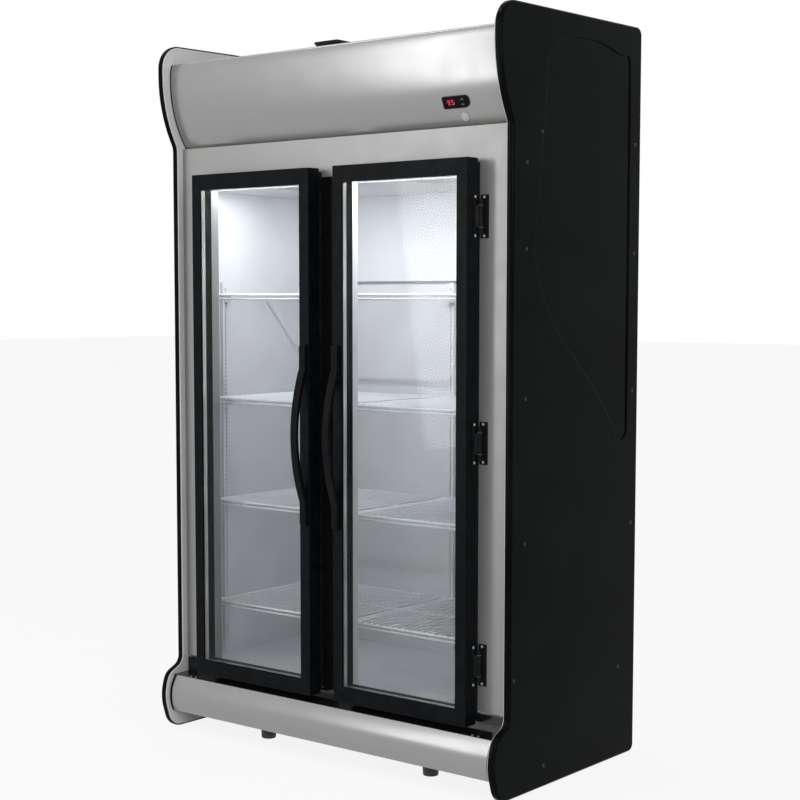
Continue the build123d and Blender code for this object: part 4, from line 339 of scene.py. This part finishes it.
def dress(finish, *nodes):
    """Gives CAD nodes a finish."""
    for node in nodes:
        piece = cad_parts[node]
        if not piece.material_slots:
            piece.data.materials.append(finish.material)
        for slot in piece.material_slots:
            slot.material = finish.material


def both(node):
    """The left and right node of a pair."""
    return [f"{node}_{side}" for side in SIDES]


# Finishes
def moulded_black(name, color, roughness, shine=0.03):
    """Vacuum-formed black plastic: glossy, slightly wavy, with an orange-peel skin."""
    finish = Finish(name, color, roughness, sockets={"IOR": 1.46, "Specular IOR Level": shine})
    finish.tones(finish.noise(4, 4), scaled(color, 0.7), scaled(color, 1.5))
    finish.gloss(finish.noise(14, 5), roughness * 0.75, roughness * 1.35)
    finish.relief(finish.noise(5, 1), 0.004, 0.25)
    return finish.relief(finish.noise(420, 2), 0.0003, 0.18)


def silver_paint(name, color, roughness, metallic):
    """Satin metallic paint on steel sheet."""
    finish = Finish(name, color, roughness, metallic, {"Coat Weight": 0.1, "Coat Roughness": 0.25})
    finish.tones(finish.noise(3, 3), scaled(color, 0.985), scaled(color, 1.015))
    finish.gloss(finish.noise(18, 4), roughness * 0.92, roughness * 1.08)
    return finish.relief(finish.noise(70, 1), 0.00005, 0.1)


def satin_paint(name, color, roughness=0.42, shine=0.4):
    """Plain stoved paint with a fine orange-peel skin and faint handling marks."""
    finish = Finish(name, color, roughness, sockets={"Specular IOR Level": shine})
    finish.tones(finish.noise(7, 5), scaled(color, 0.95), scaled(color, 1.03))
    finish.gloss(finish.noise(22, 5), roughness * 0.85, roughness * 1.2)
    return finish.relief(finish.noise(340, 2), 0.0002, 0.15)


def powder_coat(name, color):
    """Black powder coat with its grainy skin."""
    finish = Finish(name, color, 0.45, sockets={"Specular IOR Level": 0.06})
    finish.tones(finish.noise(60, 3), scaled(color, 0.8), scaled(color, 1.4))
    finish.gloss(finish.noise(40, 3), 0.38, 0.52)
    return finish.relief(finish.cells(900), 0.0002, 0.3)


def anodised_black(name, color):
    """Black anodised aluminium with faint draw lines along Z."""
    finish = Finish(name, color, 0.33, sockets={"Specular IOR Level": 0.045})
    finish.tones(finish.noise(30, 4), scaled(color, 0.75), scaled(color, 1.5))
    finish.gloss(finish.noise(260, 3, (1, 1, 0.02)), 0.28, 0.4)
    return finish.relief(finish.noise(600, 2, (1, 1, 0.02)), 0.0001, 0.15)


def clear_glass(name, tint):
    """Clear float glass."""
    finish = Finish(name, tint, 0.0, sockets={"Transmission Weight": 1.0, "IOR": 1.12})
    finish.gloss(finish.noise(6, 3), 0.0, 0.012)
    return finish


def mill_aluminium(name, color, grain=(1, 1, 0.03)):
    """Bare aluminium with its rolling grain."""
    finish = Finish(name, color, 0.34, 1.0)
    finish.tones(finish.noise(160, 3, grain), scaled(color, 0.85), scaled(color, 1.08))
    finish.gloss(finish.noise(300, 3, grain), 0.27, 0.42)
    return finish.relief(finish.noise(500, 2, grain), 0.0001, 0.2)


def rubber(name, color):
    """Soft matt rubber with a little bloom."""
    finish = Finish(name, color, 0.7, sockets={"Specular IOR Level": 0.1})
    finish.tones(finish.noise(45, 5), scaled(color, 0.7), scaled(color, 1.9))
    finish.gloss(finish.noise(60, 4), 0.6, 0.8)
    return finish.relief(finish.noise(700, 3), 0.0002, 0.25)


def moulded_plastic(name, color, roughness=0.4):
    """Fine-textured moulding."""
    finish = Finish(name, color, roughness, sockets={"Specular IOR Level": 0.4})
    finish.tones(finish.noise(12, 4), scaled(color, 0.9), scaled(color, 1.12))
    finish.gloss(finish.noise(35, 4), roughness * 0.85, roughness * 1.2)
    return finish.relief(finish.cells(1500), 0.0001, 0.25)


def galvanised(name, color):
    """Zinc-coated steel with its spangle."""
    finish = Finish(name, color, 0.4, 0.9)
    finish.tones(finish.cells(90, "Color"), scaled(color, 0.78), scaled(color, 1.1), 0.1, 0.9)
    finish.gloss(finish.noise(50, 4), 0.3, 0.5)
    return finish.relief(finish.noise(200, 3), 0.0002, 0.15)


def plated(name, color):
    """Bright zinc plate on small hardware."""
    finish = Finish(name, color, 0.3, 1.0)
    finish.tones(finish.noise(300, 3), scaled(color, 0.8), scaled(color, 1.1))
    return finish.gloss(finish.noise(400, 3), 0.22, 0.4)


def foam(name, color):
    """Rigid foam with its cut cells."""
    finish = Finish(name, color, 0.9)
    finish.tones(finish.cells(260), scaled(color, 1.05), scaled(color, 0.75), 0.1, 0.8)
    return finish.relief(finish.cells(260), 0.0008, 0.6)


def copper(name, color):
    """Copper tube, darker where it has been heated."""
    finish = Finish(name, color, 0.3, 1.0)
    finish.tones(finish.noise(9, 4), scaled(color, 0.6), color, 0.3, 0.7)
    finish.gloss(finish.noise(70, 3), 0.22, 0.4)
    return finish.relief(finish.noise(300, 2), 0.0001, 0.2)


def opal_lamp(name, color, strength):
    """Lit opal diffuser."""
    finish = Finish(name, (0.9, 0.89, 0.86), 0.4)
    finish.shader.inputs["Emission Color"].default_value = (*color, 1)
    finish.shader.inputs["Emission Strength"].default_value = strength
    return finish.relief(finish.waves(500, "X"), 0.0002, 0.3)


# Mesh making
def piece_from(bm, name, finish, body, matrix=None):
    """Turns a bmesh into a piece that rides on a body."""
    if matrix:
        bmesh.ops.transform(bm, matrix=matrix, verts=bm.verts)
    bmesh.ops.recalc_face_normals(bm, faces=bm.faces)
    mesh = bpy.data.meshes.new(name)
    bm.to_mesh(mesh)
    bm.free()
    piece = bpy.data.objects.new(name, mesh)
    bpy.context.scene.collection.objects.link(piece)
    mesh.materials.append(finish.material)
    for face in mesh.polygons:
        face.use_smooth = True
    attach(piece, body)
    return piece


def smooth_by_angle(piece, angle=35.0):
    """Keeps edges sharper than the angle crisp."""
    mesh = piece.data
    bm = bmesh.new()
    bm.from_mesh(mesh)
    limit = math.radians(angle)
    for edge in bm.edges:
        edge.smooth = len(edge.link_faces) == 2 and edge.calc_face_angle(0) < limit
    bm.to_mesh(mesh)
    bm.free()
    return piece


def add_block(bm, low, high, bevel=0.0, segments=2):
    """Adds a box between two corners, with rounded edges."""
    made = bmesh.ops.create_cube(bm, size=1)
    verts = made["verts"]
    size = Vector(high) - Vector(low)
    bmesh.ops.scale(bm, vec=size, verts=verts)
    bmesh.ops.translate(bm, vec=(Vector(high) + Vector(low)) / 2, verts=verts)
    if bevel:
        edges = list({edge for vert in verts for edge in vert.link_edges})
        bmesh.ops.bevel(
            bm, geom=edges, offset=bevel, segments=segments, profile=0.5, affect="EDGES", material=-1,
            clamp_overlap=True,
        )


def ring_round(bm, centre, radius, section_radius, axis, steps=48, section_steps=10):
    """Adds a closed ring of round section about an axis through centre."""
    axis = Vector(axis).normalized()
    out = axis.orthogonal().normalized()
    made = bmesh.ops.create_circle(bm, segments=section_steps, radius=section_radius)
    turn = Matrix((out, axis, out.cross(axis))).transposed().to_4x4()
    place = Matrix.Translation(Vector(centre) + out * radius) @ turn
    bmesh.ops.transform(bm, matrix=place, verts=made["verts"])
    edges = list({edge for vert in made["verts"] for edge in vert.link_edges})
    bmesh.ops.spin(
        bm, geom=edges, cent=centre, axis=axis, angle=math.tau, steps=steps, use_merge=True, use_duplicate=False
    )


def frame_ring(bm, low, high, width, y_front, y_back, bevel):
    """Adds a rectangular ring that stands just inside a window in the XZ plane."""
    (x0, z0), (x1, z1) = low, high
    outer = [bm.verts.new((x, y_back, z)) for x, z in ((x0, z0), (x1, z0), (x1, z1), (x0, z1))]
    face = bm.faces.new(outer)
    inner = bmesh.ops.inset_region(bm, faces=[face], thickness=width, use_even_offset=True, use_boundary=True)
    ring = inner["faces"]
    bmesh.ops.delete(bm, geom=[face], context="FACES_ONLY")
    raised = bmesh.ops.extrude_face_region(bm, geom=ring)
    verts = [part for part in raised["geom"] if isinstance(part, bmesh.types.BMVert)]
    bmesh.ops.translate(bm, vec=(0, y_front - y_back, 0), verts=verts)
    top_edges = [
        part for part in raised["geom"]
        if isinstance(part, bmesh.types.BMEdge) and len({round(vert.co.y, 6) for vert in part.verts}) == 1
    ]
    long_edges = [edge for edge in top_edges if edge.calc_length() > 3 * width]
    bmesh.ops.bevel(
        bm, geom=long_edges, offset=bevel, segments=3, profile=0.5, affect="EDGES", material=-1, clamp_overlap=True
    )


# The display's digits: lit bars of a seven-bar digit, from the top round and then the middle
DIGIT_BARS = {
    "0": "abcdef", "1": "bc", "2": "abged", "3": "abgcd", "4": "fgbc",
    "5": "afgcd", "6": "afgedc", "7": "abc", "8": "abcdefg", "9": "abcdfg",
}


def digit_bars(bm, character, left, base, width, height, thickness):
    """Adds the lit bars of one digit."""
    half = height / 2
    gap = 0.12 * thickness
    across = {"a": base + height, "g": base + half, "d": base}
    right = left + width
    upright = {"f": (left, base + half), "b": (right, base + half), "e": (left, base), "c": (right, base)}
    for bar in DIGIT_BARS[character]:
        if bar in across:
            y = across[bar]
            low = (left + gap, y - thickness / 2, 0)
            high = (right - gap, y + thickness / 2, 0.0003)
        else:
            x, y = upright[bar]
            low = (x - thickness / 2, y + gap, 0)
            high = (x + thickness / 2, y + half - gap, 0.0003)
        add_block(bm, low, high, 0.00012, 1)


def control_matrix(lift):
    """Places a drawing on the thermostat's face, so far above the header."""
    normal = Vector((0, -math.cos(CONTROL_LEAN), -math.sin(CONTROL_LEAN)))
    across = Vector((1, 0, 0))
    up = normal.cross(across)
    turn = Matrix((across, up, normal)).transposed().to_4x4()
    return Matrix.Translation(Vector(CONTROL_PLACE) + normal * lift) @ turn


class FRIDGE_OT_side_panels(bpy.types.Operator):
    """Moulded side panels, their painted sheets and screws"""

    bl_idname = "fridge.side_panels"
    bl_label = "Side panels"

    def execute(self, context):
        settings = context.scene.fridge_cabinet
        dress(moulded_black("panel_moulding", settings.panel_color, settings.panel_roughness), *both("side_panel"))
        sheet = satin_paint("side_sheet_paint", settings.sheet_color)
        dress(sheet, *both("side_sheet"))
        screws = plated("screw_plating", (0.7, 0.7, 0.71))
        outside = screws.between(screws.combine("ABSOLUTE", screws.coordinate("X")), 0.6, 1)
        screws.over(outside, (0.025, 0.025, 0.027))
        dress(screws, "cover_screws")
        return {"FINISHED"}


class FRIDGE_OT_front_frame(bpy.types.Operator):
    """Front frame, fixed post and sill"""

    bl_idname = "fridge.front_frame"
    bl_label = "Front frame"

    def execute(self, context):
        settings = context.scene.fridge_cabinet
        silver = silver_paint("frame_silver", settings.silver_color, 0.4, 0.5)
        dress(silver, *both("frame_stile"), "frame_rails")
        post = satin_paint("post_paint", settings.sheet_color, 0.3, 0.05)
        cover_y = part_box("mullion")[0][1]
        post.over(post.between(post.coordinate("Y"), cover_y - 0.001, cover_y + POST_BLACK), (0.006, 0.0065, 0.007))
        dress(post, "mullion")
        dress(moulded_black("sill_black", (0.008, 0.009, 0.01), 0.12, 0.5), "sill_strip")
        return {"FINISHED"}


class FRIDGE_OT_header_and_kick(bpy.types.Operator):
    """Convex header and kick panel"""

    bl_idname = "fridge.header_and_kick"
    bl_label = "Header and kick panel"

    def execute(self, context):
        settings = context.scene.fridge_cabinet
        dress(silver_paint("header_silver", settings.silver_color, 0.24, 0.65), "header_panel")
        dress(satin_paint("trim_black", (0.005, 0.005, 0.006), 0.35, 0.06), "edge_trims")
        kick = silver_paint("kick_silver", settings.silver_color, 0.24, 0.6)
        dust = kick.range(kick.along("Z", 0.06, 0.1), 0, 1, 0.35, 0)
        kick.over(dust, (0.3, 0.29, 0.27))
        dress(kick, "kick_panel")
        return {"FINISHED"}


class FRIDGE_OT_doors(bpy.types.Operator):
    """Door frames, glass, seals, beads and handles"""

    bl_idname = "fridge.doors"
    bl_label = "Doors"

    def execute(self, context):
        settings = context.scene.fridge_door
        bars = anodised_black("door_bar_anodising", settings.bar_color)
        dress(bars, *both("door_frame"))
        dress(clear_glass("door_glass", settings.glass_tint), *both("door_glass"))
        dress(mill_aluminium("spacer_aluminium", (0.72, 0.7, 0.66)), *both("door_spacer"))
        seal = rubber("seal_rubber", (0.008, 0.0085, 0.009))
        dress(seal, *both("door_gasket"))
        dress(moulded_black("handle_moulding", (0.004, 0.0045, 0.0055), 0.2, 0.06), *both("door_handle"))
        for side in SIDES:
            low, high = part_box(f"door_glass_{side}")
            front = low[1]
            bm = bmesh.new()
            frame_ring(
                bm, (low[0] + GLASS_BITE, low[2] + GLASS_BITE), (high[0] - GLASS_BITE, high[2] - GLASS_BITE),
                settings.bead_width, front - 0.0022, front - 0.0001, 0.0008,
            )
            bead = piece_from(bm, f"glazing_bead_{side}", seal, f"{side}_door")
            smooth_by_angle(bead)
        return {"FINISHED"}


class FRIDGE_OT_hinges(bpy.types.Operator):
    """Hinge leaves, pins and screws"""

    bl_idname = "fridge.hinges"
    bl_label = "Hinges"

    def execute(self, context):
        bright = (0.42, 0.42, 0.42)
        frame_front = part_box("frame_hinge_leaves")[1][1] - FRAME_LEAF_DEPTH
        fixed = powder_coat("frame_hinge_coat", (0.008, 0.0085, 0.009))
        level = fixed.off_levels(HINGE_FIRST, HINGE_STEP)
        ahead = fixed.between(fixed.coordinate("Y"), -1, frame_front)
        washer = fixed.combine("MULTIPLY", ahead, fixed.between(level, *HINGE_WASHER))
        fixed.over(washer, (0.09, 0.1, 0.11))
        fixed.over(fixed.combine("MULTIPLY", ahead, fixed.between(level, *HINGE_SCREW)), bright)
        dress(fixed, "frame_hinge_leaves")

        door_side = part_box("door_frame_right")[1][0] + DOOR_LEAF_DEPTH
        moving = powder_coat("door_hinge_coat", (0.008, 0.0085, 0.009))
        proud = moving.between(moving.combine("ABSOLUTE", moving.coordinate("X")), door_side, 1)
        screw = moving.between(moving.off_levels(HINGE_FIRST, HINGE_STEP), *HINGE_SCREW)
        moving.over(moving.combine("MULTIPLY", proud, screw), bright)
        dress(moving, *both("door_hinge_leaves"))
        return {"FINISHED"}


class FRIDGE_OT_cold_space(bpy.types.Operator):
    """Lining, shelves, rails and lamps"""

    bl_idname = "fridge.cold_space"
    bl_label = "Cold space"

    def execute(self, context):
        settings = context.scene.fridge_cold
        enamel = satin_paint("liner_enamel", settings.liner_color, 0.34)
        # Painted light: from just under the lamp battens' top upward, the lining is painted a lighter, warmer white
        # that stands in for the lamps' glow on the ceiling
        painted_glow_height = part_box("lamp_battens")[1][2] - 0.02
        enamel.over(enamel.along("Z", painted_glow_height, painted_glow_height + 0.01), (0.88, 0.86, 0.8))
        dress(enamel, "liner_walls", "evaporator_cover", "shelf_supports")
        wire = satin_paint("shelf_coating", scaled(settings.liner_color, 1.27), 0.36)
        wire.relief(wire.noise(120, 3), 0.0003, 0.3)
        dress(wire, *[f"shelf_level_{level}" for level in range(1, 5)])
        dress(foam("insulation_foam", (0.8, 0.72, 0.48)), "insulation")
        dress(opal_lamp("lamp_diffuser", (1, 0.94, 0.82), 4), "lamp_battens")
        low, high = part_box("lamp_battens")
        for side in (-1, 1):
            light = bpy.data.lights.new(f"lamp_light_{side}", "AREA")
            light.shape = "RECTANGLE"
            light.size, light.size_y = LAMP_LIGHT
            light.energy = settings.lamp_power
            light.color = settings.lamp_color
            lamp = bpy.data.objects.new(light.name, light)
            lamp.location = (side * LAMP_X, (low[1] + high[1]) / 2, low[2] - 0.003)
            lamp.rotation_euler = (LAMP_TURN, 0, 0)
            context.scene.collection.objects.link(lamp)
        return {"FINISHED"}


class FRIDGE_OT_cooler(bpy.types.Operator):
    """Cooling coil, its fans and motors"""

    bl_idname = "fridge.cooler"
    bl_label = "Cooler"

    def execute(self, context):
        fins = mill_aluminium("coil_aluminium", (0.74, 0.75, 0.77), (1, 1, 1))
        fins.relief(fins.waves(300, "X"), 0.0004, 0.3)
        dress(fins, "evaporator_coil", "condenser")
        dress(moulded_plastic("fan_plastic", (0.02, 0.02, 0.022)), *both("evaporator_fan"), "condenser_fan")
        motors = satin_paint("motor_paint", (0.12, 0.12, 0.13))
        dress(motors, "evaporator_fan_motors", "condenser_fan_motor")
        return {"FINISHED"}


class FRIDGE_OT_machine(bpy.types.Operator):
    """Condensing unit, pipes, deck and back"""

    bl_idname = "fridge.machine"
    bl_label = "Machine compartment"

    def execute(self, context):
        settings = context.scene.fridge_cabinet
        dress(galvanised("deck_zinc", (0.62, 0.63, 0.64)), "machine_deck")
        dress(satin_paint("back_paint", settings.sheet_color), "back_panel", "rear_grille")
        dress(powder_coat("shroud_coat", (0.015, 0.015, 0.016)), "condenser_shroud", "electrical_box")
        gloss = satin_paint("compressor_paint", (0.012, 0.012, 0.013), 0.22)
        dress(gloss, "compressor")
        dress(copper("pipe_copper", (0.75, 0.36, 0.2)), "refrigerant_pipes")
        centre = (*COMPRESSOR_AXIS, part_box("compressor")[0][2] + SEAM_RISE)
        bm = bmesh.new()
        ring_round(bm, centre, SEAM_RADIUS, SEAM_ROUND, (0, 0, 1))
        piece_from(bm, "compressor_seam", gloss, "cabinet")
        return {"FINISHED"}


class FRIDGE_OT_controls(bpy.types.Operator):
    """Thermostat, its display and keys, and the lamp switch"""

    bl_idname = "fridge.controls"
    bl_label = "Controls"

    def execute(self, context):
        settings = context.scene.fridge_control
        case = moulded_black("thermostat_moulding", (0.009, 0.009, 0.01), 0.18)
        dress(case, "controller_case")
        key_skin = rubber("key_rubber", (0.016, 0.016, 0.017))
        dress(key_skin, "controller_key_up", "controller_key_down")
        pale = moulded_plastic("switch_plastic", (0.47, 0.475, 0.475), 0.35)
        dress(pale, "lamp_switch_case", "lamp_switch_button")

        window = Finish("display_window", (0.008, 0.0012, 0.002), 0.08, sockets={"Specular IOR Level": 0.1})
        window.tones(window.noise(80, 2), (0.006, 0.001, 0.0015), (0.01, 0.0015, 0.0025))
        bm = bmesh.new()
        add_block(bm, WINDOW_LOW, WINDOW_HIGH, 0.0001, 1)
        piece_from(bm, "display_window", window, "cabinet", control_matrix(WINDOW_LIFT))

        light = Finish("display_digits", (0.2, 0.01, 0.01), 0.4)
        light.shader.inputs["Emission Color"].default_value = (*settings.digit_color, 1)
        light.shader.inputs["Emission Strength"].default_value = 0.9
        light.relief(light.noise(900, 1), 0.0001, 0.1)
        text = f"{settings.reading:.1f}"
        bm = bmesh.new()
        for character, left in zip(text.replace(".", ""), DIGIT_LEFTS):
            digit_bars(bm, character, left, DIGIT_BASE, *DIGIT_SIZE)
        add_block(bm, POINT_LOW, POINT_HIGH, 0.00012, 1)
        piece_from(bm, "display_digits", light, "cabinet", control_matrix(DIGIT_LIFT))

        mark = moulded_plastic("key_mark", (0.55, 0.55, 0.55), 0.5)
        for name, turn, y in KEY_MARKS:
            bm = bmesh.new()
            made = bmesh.ops.create_cone(
                bm, cap_ends=True, cap_tris=False, segments=3, radius1=0.0018, radius2=0.0016, depth=0.0002
            )
            bmesh.ops.rotate(
                bm, cent=(0, 0, 0), matrix=Matrix.Rotation(turn, 3, "Z"), verts=made["verts"]
            )
            bmesh.ops.translate(bm, vec=(KEY_MARK_X, y, 0.0001), verts=made["verts"])
            key = f"controller_key_{name}"
            piece_from(bm, f"key_mark_{name}", mark, key, control_matrix(KEY_MARK_LIFT))
        return {"FINISHED"}


class FRIDGE_OT_base(bpy.types.Operator):
    """Base frame, feet and drain tray"""

    bl_idname = "fridge.base"
    bl_label = "Base"

    def execute(self, context):
        dress(satin_paint("base_paint", (0.02, 0.02, 0.021)), "base_frame")
        feet = moulded_plastic("foot_plastic", (0.014, 0.014, 0.015), 0.45)
        feet.over(feet.range(feet.along("Z", 0.0, 0.02), 0, 1, 0.5, 0), (0.12, 0.115, 0.11))
        dress(feet, *[f"foot_{place}" for place in ("front_left", "front_right", "rear_left", "rear_right")])
        dress(moulded_plastic("tray_plastic", (0.05, 0.05, 0.05)), "drain_tray")
        return {"FINISHED"}


class FRIDGE_OT_stage(bpy.types.Operator):
    """Floor, soft light and the photograph's camera"""

    bl_idname = "fridge.stage"
    bl_label = "Stage"

    def execute(self, context):
        settings = context.scene.fridge_stage
        context.scene.view_settings.view_transform = "Standard"
        self.make_floor(context)
        self.make_world(context, settings.world_light)
        for name, *setting in STUDIO_LAMPS:
            self.make_light(context, name, *setting, getattr(settings, name))
        self.make_camera(context)
        return {"FINISHED"}

    def make_floor(self, context):
        bm = bmesh.new()
        bmesh.ops.create_grid(bm, x_segments=1, y_segments=1, size=40)
        mesh = bpy.data.meshes.new("floor")
        bm.to_mesh(mesh)
        bm.free()
        floor = bpy.data.objects.new("floor", mesh)
        context.scene.collection.objects.link(floor)
        finish = Finish("floor_paper", (0.91, 0.91, 0.91), 0.9, sockets={"Specular IOR Level": 0.0})
        finish.tones(finish.noise(2, 2), (0.9, 0.9, 0.9), (0.92, 0.92, 0.92))
        glow = finish.nodes.new("ShaderNodeEmission")
        glow.inputs["Strength"].default_value = 1.0
        seen = seen_rays(finish.nodes, finish.link, FLOOR_SHARE)
        mix = finish.nodes.new("ShaderNodeMixShader")
        finish.link(seen, mix.inputs["Fac"])
        finish.link(finish.shader.outputs["BSDF"], mix.inputs[1])
        finish.link(glow.outputs["Emission"], mix.inputs[2])
        finish.link(mix.outputs["Shader"], finish.nodes["Material Output"].inputs["Surface"])
        mesh.materials.append(finish.material)

    def make_world(self, context, strength):
        world = bpy.data.worlds.new("studio")
        context.scene.world = world
        world.use_nodes = True
        nodes = world.node_tree.nodes
        link = world.node_tree.links.new
        soft = nodes["Background"]
        soft.inputs["Color"].default_value = (1, 1, 1, 1)
        soft.inputs["Strength"].default_value = strength
        white = nodes.new("ShaderNodeBackground")
        white.inputs["Color"].default_value = (1, 1, 1, 1)
        white.inputs["Strength"].default_value = 1.0
        mix = nodes.new("ShaderNodeMixShader")
        link(seen_rays(nodes, link, 1.0), mix.inputs["Fac"])
        link(soft.outputs["Background"], mix.inputs[1])
        link(white.outputs["Background"], mix.inputs[2])
        link(mix.outputs["Shader"], nodes["World Output"].inputs["Surface"])

    def make_light(self, context, name, place, target, size, roll, power):
        light = bpy.data.lights.new(name, "AREA")
        light.shape = "RECTANGLE"
        light.size, light.size_y = size
        light.energy = power
        lamp = bpy.data.objects.new(name, light)
        lamp.location = place
        turn = (Vector(target) - Vector(place)).to_track_quat("-Z", "Y").to_matrix()
        lamp.rotation_euler = (turn @ Matrix.Rotation(math.radians(roll), 3, "Z")).to_euler()
        context.scene.collection.objects.link(lamp)

    def make_camera(self, context):
        data = bpy.data.cameras.new("camera")
        data.lens = CAMERA_LENS
        data.sensor_width = 36.0
        data.shift_x, data.shift_y = CAMERA_SHIFT
        camera = bpy.data.objects.new("camera", data)
        turn = Euler((math.radians(90 + CAMERA_PITCH), 0, math.radians(CAMERA_YAW))).to_matrix().to_4x4()
        camera.matrix_world = Matrix.Translation(CAMERA_PLACE) @ turn
        context.scene.collection.objects.link(camera)
        context.scene.camera = camera


PIECES = (
    FRIDGE_OT_side_panels,
    FRIDGE_OT_front_frame,
    FRIDGE_OT_header_and_kick,
    FRIDGE_OT_doors,
    FRIDGE_OT_hinges,
    FRIDGE_OT_cold_space,
    FRIDGE_OT_cooler,
    FRIDGE_OT_machine,
    FRIDGE_OT_controls,
    FRIDGE_OT_base,
    FRIDGE_OT_stage,
)

SETTINGS = {
    "fridge_cabinet": CabinetSettings,
    "fridge_door": DoorSettings,
    "fridge_cold": ColdSpaceSettings,
    "fridge_control": ControlSettings,
    "fridge_stage": StageSettings,
}


class FRIDGE_PT_panel(bpy.types.Panel):
    """Settings and pieces of the refrigerator"""

    bl_idname = "FRIDGE_PT_panel"
    bl_label = "Display refrigerator"
    bl_space_type = "VIEW_3D"
    bl_region_type = "UI"
    bl_category = "Refrigerator"

    def draw(self, context):
        for name, group in SETTINGS.items():
            box = self.layout.box()
            for prop in group.__annotations__:
                box.prop(getattr(context.scene, name), prop)
        for piece in PIECES:
            self.layout.operator(piece.bl_idname)


def register():
    for group in (*SETTINGS.values(), *PIECES, FRIDGE_PT_panel):
        bpy.utils.register_class(group)
    for name, group in SETTINGS.items():
        setattr(bpy.types.Scene, name, bpy.props.PointerProperty(type=group))


def unregister():
    for name in SETTINGS:
        delattr(bpy.types.Scene, name)
    for group in reversed((*SETTINGS.values(), *PIECES, FRIDGE_PT_panel)):
        bpy.utils.unregister_class(group)


def main():
    register()
    for piece in PIECES:
        group, action = piece.bl_idname.split(".")
        getattr(getattr(bpy.ops, group), action)()


if __name__ == "__main__":
    main()
